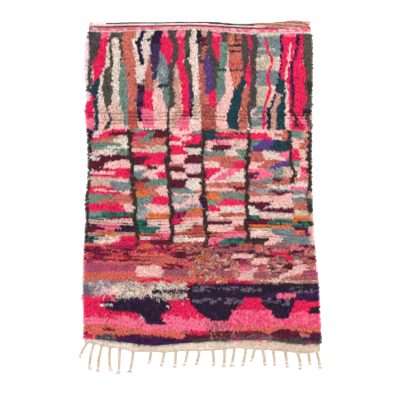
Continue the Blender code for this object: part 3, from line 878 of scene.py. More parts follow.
# The studio: each light's place, size and power, and the camera over the middle of the photograph
FLOOR_COLOUR = (226, 226, 226)
FLOOR_SIZE = 30
FLOOR_Z = -0.0004
SKY_STRENGTH = 0.68
LIGHTS = (
    ("key", (1.6, 2.2, 4.2), 2.0, 275),
    ("fill", (-1.8, -1.2, 4.4), 3.0, 104),
)
PHOTO_MIDDLE_ROW = 200
CAMERA_HEIGHT = 6.4
LENS_MM = 90.0
SENSOR_MM = 36


# Numbers and noise


def curve_at(places, values, at):
    """The values at some places on a smooth curve through values at rising places."""
    places = np.asarray(places, float)
    values = np.asarray(values, float)
    last = len(places) - 1
    at = np.clip(at, places[0], places[last])
    right = np.clip(np.searchsorted(places, at), 1, last)
    left = right - 1
    before = np.maximum(left - 1, 0)
    after = np.minimum(right + 1, last)
    run = places[right] - places[left]
    share = (at - places[left]) / run
    slope_in = (values[right] - values[before]) / (places[right] - places[before]) * run
    slope_out = (values[after] - values[left]) / (places[after] - places[left]) * run
    squared = share * share
    cubed = squared * share
    return (
        values[left] * (2 * cubed - 3 * squared + 1)
        + slope_in * (cubed - 2 * squared + share)
        + values[right] * (3 * squared - 2 * cubed)
        + slope_out * (cubed - squared)
    )


def smooth_noise(x, y, seed):
    """A smooth random surface between -1 and 1 whose bumps are about 1 wide."""
    table = np.random.default_rng(seed).uniform(-1, 1, (NOISE_TABLE, NOISE_TABLE))
    x, y = np.broadcast_arrays(x, y)
    column = np.floor(x).astype(int)
    row = np.floor(y).astype(int)
    across = x - column
    along = y - row
    across = across * across * (3 - 2 * across)
    along = along * along * (3 - 2 * along)
    column, row = column % NOISE_TABLE, row % NOISE_TABLE
    next_column, next_row = (column + 1) % NOISE_TABLE, (row + 1) % NOISE_TABLE
    low = table[row, column] * (1 - across) + table[row, next_column] * across
    high = table[next_row, column] * (1 - across) + table[next_row, next_column] * across
    return low * (1 - along) + high * along


def points(x, y, z):
    """Points from their three coordinates, each an array or one number."""
    return np.stack(np.broadcast_arrays(x, y, z), axis=1)


def row_at(row):
    """The place along the rug of one of the photograph's rows."""
    return (ORIGIN_ROW - row) * PIXEL


def linear(colour):
    """A colour picker's colour as linear light."""
    value = np.asarray(colour, float) / 255
    return np.where(value <= 0.04045, value / 12.92, ((value + 0.055) / 1.055) ** 2.4)


# The rug's outline and relief


def sides_at(y):
    """The left and right edge of the ground cloth, inside the tips of the side locks."""
    places = [row.y for row in SIDES]
    left = curve_at(places, [row.left for row in SIDES], y)
    right = curve_at(places, [row.right for row in SIDES], y)
    return left + LOCK_INSET, right - LOCK_INSET


def across_at(x):
    """The outer edge of the head hem and the end of the pile."""
    places = [row.x for row in ACROSS]
    head = curve_at(places, [row.head for row in ACROSS], x)
    pile_end = curve_at(places, [row.pile_end for row in ACROSS], x)
    return head, pile_end


def hem_depth(x):
    """How far the head hem reaches in from its outer edge."""
    return curve_at([row.x for row in HEM_DEPTHS], [row.depth for row in HEM_DEPTHS], x)


def foot_at(x):
    """The foot edge of the flat-woven band, which each tassel draws out into a scallop."""
    roots = np.array([tassel.root_x for tassel in TASSELS])
    outer = [tassel.root_y + STRIP_DEPTH for tassel in TASSELS]
    nearest = np.min(np.abs(np.asarray(x)[..., None] - roots), axis=-1)
    return curve_at(roots, outer, x) + SCALLOP_DEPTH * np.minimum(nearest / SCALLOP_REACH, 1.0)


def pile_places(share, row):
    """Where a knot lies, from its share of the way across and its row counted from the head."""
    y = FIRST_KNOT_Y - KNOT_ROW_PITCH * row
    for _ in range(PLACE_ROUNDS):
        left, right = sides_at(y)
        x = left + (right - left) * share
        head, pile_end = across_at(x)
        pile_start = head - hem_depth(x)
        y = pile_start + (pile_end - pile_start) * row / KNOT_ROWS
    return x, y


def pile_top(x, y):
    """The height of the pile: lower at the rim and in the fold, and a little lumpy."""
    left, right = sides_at(y)
    fold_x = left + (right - left) * FOLD_SHARE
    rise = np.clip(np.minimum(x - left, right - x) / RIM_REACH, 0, 1)
    level = RIM_HEIGHT + (PILE_HEIGHT - RIM_HEIGHT) * rise * (2 - rise)
    lump = smooth_noise(x / LUMP_SIZE, y / LUMP_SIZE, 11) * LUMP_HEIGHT * (0.35 + 0.65 * rise)
    trough = FOLD_DEPTH * np.clip(1 - np.abs(x - fold_x) / FOLD_HALF_WIDTH, 0, 1)
    return level + lump - trough


# The pattern


def yarn_number(name):
    """A yarn's place in the list of yarns."""
    return YARN_NAMES.index(name)


def yarn_numbers(names):
    """The places of several yarns, written in one line."""
    return np.array([yarn_number(name) for name in names.split()])


def inside_box(column, row, box):
    """Whether each place is in a box of the photograph: its top and bottom row, its left and right column."""
    top, bottom, left, right = box
    return (row > top) & (row < bottom) & (column > left) & (column < right)


def paint(chart, column, row, yarn):
    """Lays a chart's streaks over the yarns that were there."""
    for name, *turns in chart:
        rows = [turn[0] for turn in turns]
        left = np.interp(row, rows, [turn[1] for turn in turns])
        right = np.interp(row, rows, [turn[2] for turn in turns])
        inside = (row >= rows[0]) & (row < rows[-1]) & (column >= left) & (column < right)
        yarn[inside] = yarn_number(name)


def paint_lattice(column, row, yarn):
    """The lattice's columns of bands, with slanting ragged joins between the yarns of a band."""
    edges = [np.interp(row, POST_ROWS, [posts[i] for posts in POST_COLUMNS]) for i in range(7)]
    zone = (row >= LATTICE_TOP) & (row < MOTTLED_TOP + 0.5)
    for index, bands in enumerate(LATTICE):
        left, right = edges[index], edges[index + 1]
        share = (column - left) / (right - left)
        tilt = BAND_TILT * smooth_noise(row / 11, index * 3.7, 21)
        tilt = tilt * np.clip((row - LATTICE_TOP) / TILT_REACH, 0, 1)
        tilted = row + tilt * (share - 0.5) + 0.6 * smooth_noise(column / 14, row / 9, 22)
        band = np.searchsorted([band[0] for band in bands], tilted)
        band = np.minimum(band, len(bands) - 1)
        inside_column = zone & (share >= 0) & (share < 1)
        for number, (_, names) in enumerate(bands):
            choices = yarn_numbers(names)
            inside = inside_column & (band == number)
            slant = JOIN_SLANT * (-1) ** (number + index)
            top = bands[number - 1][0] if number else LATTICE_TOP
            moved = share + slant * (row - top - 3) + 0.07 * smooth_noise(row * 0.9, index * 7.7, 23)
            place = np.clip((moved * len(choices)).astype(int), 0, len(choices) - 1)
            yarn[inside] = choices[place[inside]]


def paint_mottled(column, row, streak, yarn):
    """The mottled band: long thin streaks, magenta and flame at the left, heather and tan at the right."""
    value = smooth_noise(column / 9, streak * 1.7, 31) + 0.2 * smooth_noise(column / 30, row / 7, 32)
    value = value + (row - 264) / 70
    zone = (row >= MOTTLED_TOP) & (row < NIGHT_TOP)
    at_right = column + 14 * smooth_noise(column / 20, streak * 0.9, 33) > MOTTLED_JOIN
    for names, side in ((MOTTLED_LEFT, zone & ~at_right), (MOTTLED_RIGHT, zone & at_right)):
        choices = yarn_numbers(names)
        place = np.clip(((value * 0.62 + 0.5) * len(choices)).astype(int), 0, len(choices) - 1)
        yarn[side] = choices[place[side]]


def yarn_at(x, y, knot_row, along):
    """The yarn at each place. Edges wander, and each row of knots ends in teeth towards its foot side."""
    column = ORIGIN_COLUMN + x / PIXEL
    row = ORIGIN_ROW - y / PIXEL
    tooth = smooth_noise(x / 0.035, knot_row * 1.37, 41)
    reach = np.where(row > LATTICE_TOP, DASH_TOOTH, STRIPE_TOOTH)
    reach = np.where(row > MOTTLED_TOP, MOTTLED_TOOTH, reach)
    reach = np.where(row > NIGHT_TOP, PEAK_TOOTH, reach)
    calm = column + 0.8 * smooth_noise(x / 0.06, y / 0.05, 42)
    column = calm + reach * tooth * (0.7 * along)
    row = row + 0.7 * smooth_noise(x / 0.05, y / 0.06, 43) + ROW_SHARE * (along - 0.5)
    pale = smooth_noise(column / 3, row / 8, 44) > 0
    yarn = np.where(pale, yarn_number("blush"), yarn_number("cream"))
    paint(STRIPES, column, row, yarn)
    paint_lattice(column, row, yarn)
    frayed = calm + 1.2 * smooth_noise(0.5, knot_row * 2.3, 47) + 3.0 * tooth * along
    paint(POSTS, frayed, row, yarn)
    paint_mottled(column, row, 2 * knot_row + np.round(along), yarn)
    paint(MOTTLES, column, row, yarn)
    yarn[row >= PEAK_GROUND_TOP] = yarn_number("wine")
    paint(NIGHT, column, row, yarn)
    paint(PEAKS, column, row, yarn)
    add_flecks(column, row, yarn)
    curl_fleece(column, row, yarn)
    fade_crimson(column, row, yarn)
    blend_yarns(x, y, yarn)
    return yarn


def add_flecks(column, row, yarn):
    """Pale flecks in the dark wool of the night band and of the foot."""
    dark = np.isin(yarn, yarn_numbers("dark_purple indigo charcoal"))
    uneven = smooth_noise(column / 4.5, row / 0.9, 45)
    for box in FLECKS:
        yarn[inside_box(column, row, box) & dark & (uneven > 0.05)] = yarn_number("smoke")


def curl_fleece(column, row, yarn):
    """Grey and tan curls in the fleece."""
    curls = (row > CURLS_TOP) & (yarn == yarn_number("fleece"))
    fine = smooth_noise(column / 1.3, row / 1.3, 46)
    yarn[curls & (fine > 0.38)] = yarn_number("smoke")
    yarn[curls & (fine < -0.30)] = yarn_number("tan")


def fade_crimson(column, row, yarn):
    """The ragged change from crimson to pink below the peaks."""
    crimson = (yarn == yarn_number("crimson")) & (row > FADE_TOP) & (row < FADE_END)
    pink = (yarn == yarn_number("hot_pink")) & (row > FADE_TOP) & (row < FADE_END + 4)
    fading = 0.5 + 0.5 * smooth_noise(column / 2.2, row / 0.8, 48)
    crimson_limit = 0.9 * (row - FADE_TOP) / (FADE_END - FADE_TOP)
    pink_limit = 0.45 + 0.55 * (row - FADE_TOP) / (FADE_END - FADE_TOP)
    yarn[crimson & (fading < crimson_limit)] = yarn_number("hot_pink")
    yarn[pink & (fading > pink_limit)] = yarn_number("crimson")


def blend_yarns(x, y, yarn):
    """Gives some knots of each uneven yarn to the other yarn in it."""
    before = yarn.copy()
    for number, (name, other, share) in enumerate(BLENDS):
        uneven = 0.5 + 0.5 * smooth_noise(x / 0.011, y / 0.017, 100 + number)
        yarn[(before == yarn_number(name)) & (uneven < share)] = yarn_number(other)


# Meshes from arrays


class Shape:
    """Vertices and faces that are gathered piece by piece."""

    def __init__(self):
        self.verts = []
        self.faces = []
        self.slots = []
        self.count = 0

    def add(self, verts, faces, slot=0):
        """Adds vertices, and face arrays with the same number of corners in each array."""
        self.verts.append(verts.reshape(-1, 3))
        for group in faces:
            self.faces.append(group + self.count)
            self.slots.append(np.full(len(group), slot))
        self.count += len(self.verts[-1])

    def mesh(self, name, materials):
        """One mesh of all that was gathered."""
        verts = np.concatenate(self.verts).astype(np.float32)
        corners = np.concatenate([group.ravel() for group in self.faces]).astype(np.int32)
        sizes = [np.full(len(group), group.shape[1]) for group in self.faces]
        sizes = np.concatenate(sizes).astype(np.int32)
        starts = np.concatenate([[0], np.cumsum(sizes)[:-1]])
        data = bpy.data.meshes.new(name)
        data.vertices.add(len(verts))
        data.vertices.foreach_set("co", verts.ravel())
        data.loops.add(len(corners))
        data.loops.foreach_set("vertex_index", corners)
        data.polygons.add(len(sizes))
        data.polygons.foreach_set("loop_start", starts.astype(np.int32))
        data.polygons.foreach_set("loop_total", sizes)
        for material in materials:
            data.materials.append(material)
        data.polygons.foreach_set("material_index", np.concatenate(self.slots).astype(np.int32))
        data.polygons.foreach_set("use_smooth", np.full(len(sizes), True))
        data.update(calc_edges=True)
        data.validate()
        return data


def tubes(paths, radii, sides, turn=0.0):
    """Closed tubes along many paths at once: a face at each start, a point at each end.

    paths holds (tube, station, xyz), the last station being the point, and radii (tube, station).
    """
    count, stations, _ = paths.shape
    rings = stations - 1
    ahead = np.gradient(paths, axis=1)[:, :rings]
    ahead /= np.linalg.norm(ahead, axis=2, keepdims=True) + 1e-9
    side = np.cross(ahead, np.array([0.0, 0.0, 1.0]))
    length = np.linalg.norm(side, axis=2, keepdims=True)
    side = np.where(length > 0.05, side / (length + 1e-9), np.array([1.0, 0.0, 0.0]))
    over = np.cross(side, ahead)
    angle = np.arange(sides) * 2 * np.pi / sides
    angle = angle[None, None, :] + np.broadcast_to(np.asarray(turn), count)[:, None, None]
    wide = np.cos(angle)[..., None] * side[:, :, None, :]
    high = np.sin(angle)[..., None] * over[:, :, None, :]
    ring = paths[:, :rings, None, :] + radii[:, :rings, None, None] * (wide + high)
    per_tube = rings * sides + 1
    verts = np.concatenate([ring.reshape(count, rings * sides, 3), paths[:, -1:, :]], axis=1)
    base = (np.arange(count) * per_tube)[:, None, None]
    here = np.arange(sides)
    after = (here + 1) % sides
    level = (np.arange(rings - 1) * sides)[:, None]
    quad = np.stack([level + here, level + after, level + sides + after, level + sides + here], axis=2)
    quads = (base[..., None] + quad[None]).reshape(-1, 4)
    last = (rings - 1) * sides
    tip = np.stack([last + here, last + after, np.full(sides, rings * sides)], axis=1)
    tips = (base + tip[None]).reshape(-1, 3)
    starts = (base[:, 0] + here[::-1][None]).reshape(-1, sides)
    return verts.reshape(-1, 3), [quads, tips, starts]


def piece_of(name, shape, materials, node="rug"):
    """The object of one gathered shape, riding on the rug's body and standing for a solid."""
    piece = bpy.data.objects.new(name, shape.mesh(name, materials))
    bpy.context.scene.collection.objects.link(piece)
    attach(piece, "root")
    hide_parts(node)
    return piece


# Materials


def noise_texture(nodes, scale):
    """A noise texture with some fine detail."""
    texture = nodes.new("ShaderNodeTexNoise")
    texture.inputs["Scale"].default_value = scale
    texture.inputs["Detail"].default_value = 3.0
    return texture


def wool(name, colour, grain=165.0, contrast=0.46):
    """Matt wool: each lock a little lighter or darker than the next, with fine fibres in its bump."""
    material = bpy.data.materials.new(name)
    material.use_nodes = True
    nodes, links = material.node_tree.nodes, material.node_tree.links
    shader = nodes["Principled BSDF"]
    for entry, value in WOOL_FINISH.items():
        shader.inputs[entry].default_value = value
    place = nodes.new("ShaderNodeTexCoord")
    lock = noise_texture(nodes, grain)
    dye = noise_texture(nodes, DYE_SCALE)
    both = nodes.new("ShaderNodeMix")
    both.inputs[0].default_value = DYE_SHARE
    ramp = nodes.new("ShaderNodeValToRGB")
    base = linear(colour)
    contrast *= 1 - 0.6 * base.max()
    ramp.color_ramp.elements[0].position = 0.40
    ramp.color_ramp.elements[1].position = 0.60
    ramp.color_ramp.elements[0].color = (*(base * (1 - contrast)), 1)
    ramp.color_ramp.elements[1].color = (*np.minimum(base * (1 + contrast) + 0.012, 1), 1)
    fibre = noise_texture(nodes, FIBRE_SCALE)
    relief = nodes.new("ShaderNodeBump")
    relief.inputs["Strength"].default_value = FIBRE_STRENGTH
    relief.inputs["Distance"].default_value = FIBRE_DEPTH
    for texture in (lock, dye, fibre):
        links.new(place.outputs["Object"], texture.inputs["Vector"])
    links.new(lock.outputs["Fac"], both.inputs[2])
    links.new(dye.outputs["Fac"], both.inputs[3])
    links.new(both.outputs[0], ramp.inputs["Fac"])
    links.new(ramp.outputs["Color"], shader.inputs["Base Color"])
    links.new(fibre.outputs["Fac"], relief.inputs["Height"])
    links.new(relief.outputs["Normal"], shader.inputs["Normal"])
    return material


def shaded_ground_wools(materials):
    """The ground cloth's materials: each yarn darkened as painted shade, for the ground that shows between
    the locks, and the bare bands' own wools.
    """
    deep = []
    for name, colour in YARNS.items():
        # Each yarn darkened by a share, as painted shade deep between the locks
        share = GROUND_SHADE_SHARE + PALE_GROUND_SHADE_SHARE * min(colour) / 255
        deep.append(wool("shaded_" + name, np.asarray(colour) * share))
    return deep + materials[YARN_COUNT:]


def plain(name, colour):
    """The pale floor's finish."""
    material = bpy.data.materials.new(name)
    material.use_nodes = True
    shader = material.node_tree.nodes["Principled BSDF"]
    shader.inputs["Base Color"].default_value = (*linear(colour), 1)
    shader.inputs["Roughness"].default_value = 0.9
    return material


# The ground cloth


def ground_rows():
    """The rows of the ground cloth from head to foot, as (zone, place in the zone) pairs."""
    hem = [("hem", i / HEM_ROWS) for i in range(HEM_ROWS)]
    pile = [("pile", float(i)) for i in range(KNOT_ROWS + 1)]
    foot = [("foot", i / FOOT_ROWS) for i in range(1, FOOT_ROWS + 1)]
    return hem + pile + foot


def ground_line(zone, place, share):
    """One row of the ground cloth's top, as three arrays."""
    if zone == "pile":
        x, y = pile_places(share, place)
        top = pile_top(x, y)
        return x, y, np.maximum(top * GROUND_SHARE, FLAT_WEAVE_HEIGHT)
    y = np.full(len(share), HEM_START_Y if zone == "hem" else FOOT_START_Y)
    for _ in range(PLACE_ROUNDS):
        left, right = sides_at(y)
        x = left + (right - left) * share
        head, pile_end = across_at(x)
        if zone == "hem":
            y = head - hem_depth(x) * place
        else:
            y = pile_end * (1 - place) + foot_at(x) * place
    if zone == "hem":
        rib = RIB_HEIGHT * 0.6 * np.sin(share * 2 * np.pi * HEM_RIBS)
        return x, y, np.interp(place, HEM_SHARES, HEM_HEIGHTS) + rib
    rib = RIB_HEIGHT * np.cos(place * np.pi * FOOT_ROWS) + 0.0008 * smooth_noise(x / 0.02, y / 0.004, 51)
    return x, y, FLAT_WEAVE_HEIGHT + rib


def face_middles(values, index):
    """The middles of the faces between one row of the ground and the next."""
    return (values[index, 1:] + values[index, :-1] + values[index + 1, 1:] + values[index + 1, :-1]) / 4


def ground_materials(rows, x, y):
    """The material of each face between the ground's rows."""
    slots = np.zeros((len(rows) - 1, x.shape[1] - 1), int)
    names = YARN_NAMES + ["hem_cream", "foot_pale", "foot_tan", "foot_cream"]
    for index in range(len(rows) - 1):
        zone, place = rows[index]
        if zone == "hem":
            band = next(name for share, name in HEM_BANDS if place < share)
            slots[index] = names.index(band)
        elif zone == "pile" and place < KNOT_ROWS:
            slots[index] = yarn_at(face_middles(x, index), face_middles(y, index), place, 0.5)
        else:
            drift = x[index, 1:] + 0.16 * smooth_noise(x[index, 1:] / 0.05, place * 9, 52)
            slots[index] = names.index("foot_cream")
            slots[index, drift < FOOT_PALE_TO] = names.index("foot_pale")
            slots[index, drift > FOOT_TAN_FROM] = names.index("foot_tan")
    return slots


def make_ground(materials):
    """The woven ground of the whole rug, a closed sheet with a flat underside."""
    rows = ground_rows()
    share = np.linspace(0, 1, GROUND_COLUMNS + 1)
    lines = [ground_line(zone, place, share) for zone, place in rows]
    x, y, z = [np.array([line[axis] for line in lines]) for axis in range(3)]
    top = np.stack([x, y, z], axis=2).reshape(-1, 3)
    number = np.arange(x.size).reshape(x.shape)
    corners = [number[1:, :-1], number[1:, 1:], number[:-1, 1:], number[:-1, :-1]]
    faces = np.stack(corners, axis=2).reshape(-1, 4)
    rim = np.concatenate([number[0, :-1], number[:-1, -1], number[-1, :0:-1], number[:0:-1, 0]])
    under = top[rim] * np.array([1.0, 1.0, 0.0])
    under_number = len(top) + np.arange(len(rim))
    walls = np.stack([rim, np.roll(rim, -1), np.roll(under_number, -1), under_number], axis=1)
    shape = Shape()
    cream = len(materials) - 1
    shape.add(np.concatenate([top, under]), [faces, walls, under_number[None, :]], slot=cream)
    shape.slots[0] = ground_materials(rows, x, y).ravel()
    return piece_of("rug_ground", shape, materials)


# The pile


def bezier(start, middle, end, shares):
    """Points on one curve for each lock, as (lock, station, xyz)."""
    share = np.asarray(shares)[None, :, None]
    from_start = start[:, None] * (1 - share) ** 2
    by_middle = middle[:, None] * 2 * share * (1 - share)
    return from_start + by_middle + end[:, None] * share**2


def uneven_radii(rng, count, radius, least, most, profile):
    """Radii for many locks: each lock a little thicker or thinner, and its profile from root to tip."""
    return radius * rng.uniform(least, most, count)[:, None] * np.array(profile)


def in_crease(x, y, knot_row):
    """Whether each place is in a crease across the rug, which comes and goes along each row of knots."""
    creased = np.any([(y < row_at(top)) & (y > row_at(bottom)) for top, bottom in CREASE_ROWS], axis=0)
    return creased & (smooth_noise(x / 0.14, knot_row * 1.9, 65) > -0.35)


def paint_crease_shade(crease_shade, yarn):
    """Painted shade in the creases: bright locks there turn wine and pale ones rust."""
    bright = np.isin(yarn, yarn_numbers("crimson hot_pink terracotta salmon"))
    yarn[crease_shade & bright] = yarn_number("wine")
    pale = np.isin(yarn, yarn_numbers("cream blush sand beige tan"))
    yarn[crease_shade & pale] = yarn_number("rust")


def part_and_shade_fold(x, y, yarn, rng):
    """Gives some locks along the fold a darker yarn as painted shade, and says which."""
    column = ORIGIN_COLUMN + x / PIXEL
    row = ORIGIN_ROW - y / PIXEL
    chance = rng.uniform(0, 1, len(x))
    shade_yarns = yarn_numbers(FOLD_SHADE_YARNS)
    shade_yarns = shade_yarns[rng.integers(0, len(shade_yarns), len(x))]
    parted = np.zeros(len(x), bool)
    for *box, part in FOLD_PATCHES:
        parted |= inside_box(column, row, box) & (chance < part)
    # Painted shade along the fold
    yarn[parted] = shade_yarns[parted]
    return parted


def lock_leans(x, y, row_y, knot, knot_row, creased, parted, rng):
    """How far each lock leans: out of the fold, over the rim, and less in a crease."""
    count = len(x)
    in_knot = (x / KNOT_WIDTH - knot) * 2 - 1
    left, right = sides_at(row_y)
    fold_x = left + (right - left) * FOLD_SHARE
    off_fold = (x - fold_x) / PARTING_REACH
    parting = np.sign(off_fold) * np.clip(1 - np.abs(off_fold), 0, 1)
    tuft = smooth_noise(knot * 1.37, knot_row * 1.71, 62)
    swirl = 0.4 * smooth_noise(x / 0.09, y / 0.09, 61) + 0.75 * tuft + rng.normal(0, 0.22, count)
    uneven = 1 + 0.35 * smooth_noise(knot * 1.9, knot_row * 1.3, 63)
    reach = LOCK_REACH * rng.uniform(0.65, 1.2, count) * uneven
    lean = np.stack([np.sin(swirl), -np.cos(swirl)], axis=1) * reach[:, None]
    lean[:, 0] += in_knot * LOCK_FAN
    lean[:, 0] += parting * PARTING_LEAN
    lean[:, 1] *= 1 - 0.6 * np.abs(parting)
    lean[parted, 1] *= 0.6
    lean[creased] *= 0.42
    row = ORIGIN_ROW - y / PIXEL
    combed = (row > MOTTLED_TOP) & (row < NIGHT_TOP)
    lean[combed, 1] *= 0.55
    lean[combed, 0] += rng.normal(0, COMBED_SWAY, combed.sum())
    outward = np.where(x - left < right - x, -1.0, 1.0)
    at_rim = np.clip(1 - np.minimum(x - left, right - x) / OVERHANG_REACH, 0, 1)
    lean[:, 0] += outward * at_rim * OVERHANG_LEAN
    return lean


def pile_locks():
    """The short locks of the whole pile: paths, radii, turns and yarns."""
    rng = np.random.default_rng(5)
    count = KNOT_ROWS * LOCKS_IN_ROW
    knot_row = np.repeat(np.arange(KNOT_ROWS), LOCKS_IN_ROW)
    share = (np.tile(np.arange(LOCKS_IN_ROW), KNOT_ROWS) + rng.uniform(0, 1, count)) / LOCKS_IN_ROW
    x, row_y = pile_places(share, knot_row + 0.5)
    along = rng.uniform(0, 1, count)
    y = row_y + (1 - 2 * along) * ROOT_SPREAD + ROW_SHIFT
    creased = in_crease(x, y, knot_row)
    gathered = CREASE_FILL * along
    y[creased] = (row_y + (1 - 2 * gathered) * ROOT_SPREAD + CREASE_SHIFT)[creased]
    knot = np.floor(x / KNOT_WIDTH)
    yarn = yarn_at(x, row_y, knot_row, along)
    # The last locks of each creased row are painted darker as the crease's shade
    crease_shade = creased & (along > CREASE_SHADE_FROM)
    crease_shade &= smooth_noise(x / 0.09, 2.9 * knot_row, 66) > -0.30
    paint_crease_shade(crease_shade, yarn)
    parted = part_and_shade_fold(x, y, yarn, rng)
    lean = lock_leans(x, y, row_y, knot, knot_row, creased, parted, rng)
    unevenness = rng.normal(0, 1, count) + 1.4 * smooth_noise(knot * 1.61, knot_row * 1.83, 64)
    top = pile_top(x, y) + LOCK_UNEVENNESS * unevenness
    root = points(x, y, np.maximum(top * GROUND_SHARE - 0.001, LOWEST_LOCK))
    crest = points(x + lean[:, 0] * 0.35, y + lean[:, 1] * 0.35, top + CREST_RISE)
    tip = points(x + lean[:, 0], y + lean[:, 1], np.maximum(top - TIP_DROP, LOWEST_LOCK))
    radius = LOCK_RADIUS * rng.uniform(0.8, 1.2, count)
    radius[parted] *= 0.8
    radii = radius[:, None] * np.array([0.8, 1.0, 0.0])
    return bezier(root, crest, tip, (0.0, 0.5, 1.0)), radii, rng.uniform(0, 2.1, count), yarn


def side_locks():
    """The locks that hang out over the two sides down to the floor."""
    rng = np.random.default_rng(6)
    count = KNOT_ROWS * SIDE_LOCKS
    knot_row = np.repeat(np.arange(KNOT_ROWS), SIDE_LOCKS)
    place = knot_row + rng.uniform(0, 1, count)
    gathered = []
    for outward, share in ((-1.0, 0.003), (1.0, 0.997)):
        x, y = pile_places(np.full(count, share), place)
        _, row_y = pile_places(np.full(count, share), knot_row + 0.5)
        yarn = yarn_at(x, row_y, knot_row, place - knot_row)
        reach = SIDE_LOCK_REACH * rng.uniform(0.45, 1.1, count)
        if outward > 0:
            reach[np.abs(row_y - row_at(STRAY_ROW)) < KNOT_ROW_PITCH / 2] *= 1.5
        drift = rng.normal(-0.003, 0.006, count)
        root = points(x - outward * 0.004, y, 0.0045)
        crest = points(x + outward * reach * 0.5, y + drift * 0.3, rng.uniform(0.010, 0.018, count))
        tip = points(x + outward * reach, y + drift, rng.uniform(0.002, 0.004, count))
        gathered.append((bezier(root, crest, tip, (0.0, 0.3, 0.6, 0.85, 1.0)), yarn))
    paths = np.concatenate([paths for paths, _ in gathered])
    yarn = np.concatenate([yarn for _, yarn in gathered])
    radii = uneven_radii(rng, 2 * count, LOCK_RADIUS, 0.85, 1.25, (0.9, 1.0, 0.85, 0.6, 0.0))
    return paths, radii, rng.uniform(0, 2.1, 2 * count), yarn


def shaggy_locks():
    """Longer curly locks in the grey and beige wool at the left of the night band."""
    rng = np.random.default_rng(7)
    column = rng.uniform(84, 188, SHAGGY_LOCKS)
    row = rng.uniform(CURLS_TOP, 300, SHAGGY_LOCKS)
    x = (column - ORIGIN_COLUMN) * PIXEL
    y = row_at(row)
    yarn = yarn_at(x, y, np.floor(row / 3.4), 0.5)
    angle = rng.uniform(0, 2 * np.pi, SHAGGY_LOCKS)
    reach = rng.uniform(0.016, 0.030, SHAGGY_LOCKS)
    ahead = points(np.cos(angle), np.sin(angle) - 0.3, 0.0)
    beside = points(-np.sin(angle), np.cos(angle), 0.0)
    top = pile_top(x, y)
    root = points(x, y, top * 0.6)
    crest = root + ahead * reach[:, None] * 0.4
    crest[:, 2] = top + 0.009
    tip = root + ahead * reach[:, None]
    tip[:, 2] = top + 0.001
    shares = np.array((0.0, 0.25, 0.5, 0.75, 0.92, 1.0))
    paths = bezier(root, crest, tip, shares)
    curl = np.sin(shares * 7.5)[None, :, None] * rng.uniform(0.001, 0.0035, SHAGGY_LOCKS)[:, None, None]
    paths = paths + beside[:, None] * curl
    radii = uneven_radii(rng, SHAGGY_LOCKS, SHAGGY_RADIUS, 0.8, 1.2, (0.8, 1.0, 1.0, 0.9, 0.6, 0.0))
    return paths, radii, rng.uniform(0, 2.1, SHAGGY_LOCKS), yarn


def make_pile(materials):
    """The pile's locks, one piece for each yarn."""
    kinds = [pile_locks(), side_locks(), shaggy_locks()]
    pieces = []
    for index, name in enumerate(YARN_NAMES):
        shape = Shape()
        for paths, radii, turns, yarn in kinds:
            mine = yarn == index
            if mine.any():
                verts, faces = tubes(paths[mine], radii[mine], 3, turns[mine])
                shape.add(verts, faces)
        if shape.count:
            pieces.append(piece_of("pile_" + name, shape, [materials[index]]))
    return pieces


# The head hem


def hem_path(from_x, to_x, share, height, stations):
    """Points along the hem at a share of its depth."""
    x = np.linspace(from_x, to_x, stations)
    head, _ = across_at(x)
    wave = 0.0018 * smooth_noise(x / 0.06, share * 10, 71) + 0.0007 * smooth_noise(x / 0.012, share * 10, 72)
    return points(x, head - hem_depth(x) * share + wave, height)


def twisted(path, ply_radius, turn_length, plies=2):
    """The paths of the plies of a twisted cord."""
    steps = np.linalg.norm(np.diff(path, axis=0), axis=1)
    along = np.concatenate([[0], np.cumsum(steps)])
    ahead = np.gradient(path, axis=0)
    ahead /= np.linalg.norm(ahead, axis=1, keepdims=True)
    side = np.cross(ahead, np.array([0.0, 0.0, 1.0]))
    side /= np.linalg.norm(side, axis=1, keepdims=True)
    over = np.cross(side, ahead)
    found = []
    for ply in range(plies):
        angle = along / turn_length * 2 * np.pi + ply * 2 * np.pi / plies
        offset = np.cos(angle)[:, None] * side + np.sin(angle)[:, None] * over
        found.append(path + offset * ply_radius * 0.9)
    return np.array(found)


def cord_radii(count, stations, radius):
    """Even radii, closed at both ends."""
    radii = np.full((count, stations), radius)
    radii[:, 0] *= 0.5
    radii[:, -1] = 0.0
    return radii


def make_hem(materials):
    """The cords, stitches and ragged line that lie on the head hem."""
    cream = materials[YARN_COUNT]
    maroon, *binding = [wool(name, colour, contrast=contrast) for name, colour, contrast in HEM_WOOLS]
    pieces = [make_hem_cord(cord, cream if cord.wool == "cream" else maroon) for cord in HEM_CORDS]
    return [*pieces, make_hem_roll(), make_hem_stitches(binding), make_ragged_line(cream)]


def make_hem_cord(cord, material):
    """One cord of two plies along the hem, uneven in its thickness."""
    path = hem_path(cord.from_x, cord.to_x, cord.share, cord.height, HEM_CORD_STATIONS)
    radii = cord_radii(2, HEM_CORD_STATIONS, cord.radius)
    radii *= 1 + 0.45 * smooth_noise(path[:, 0] / 0.035, cord.share * 31, 73)[None]
    shape = Shape()
    shape.add(*tubes(twisted(path, cord.radius, cord.turn), radii, 5))
    return piece_of(cord.name, shape, [material])


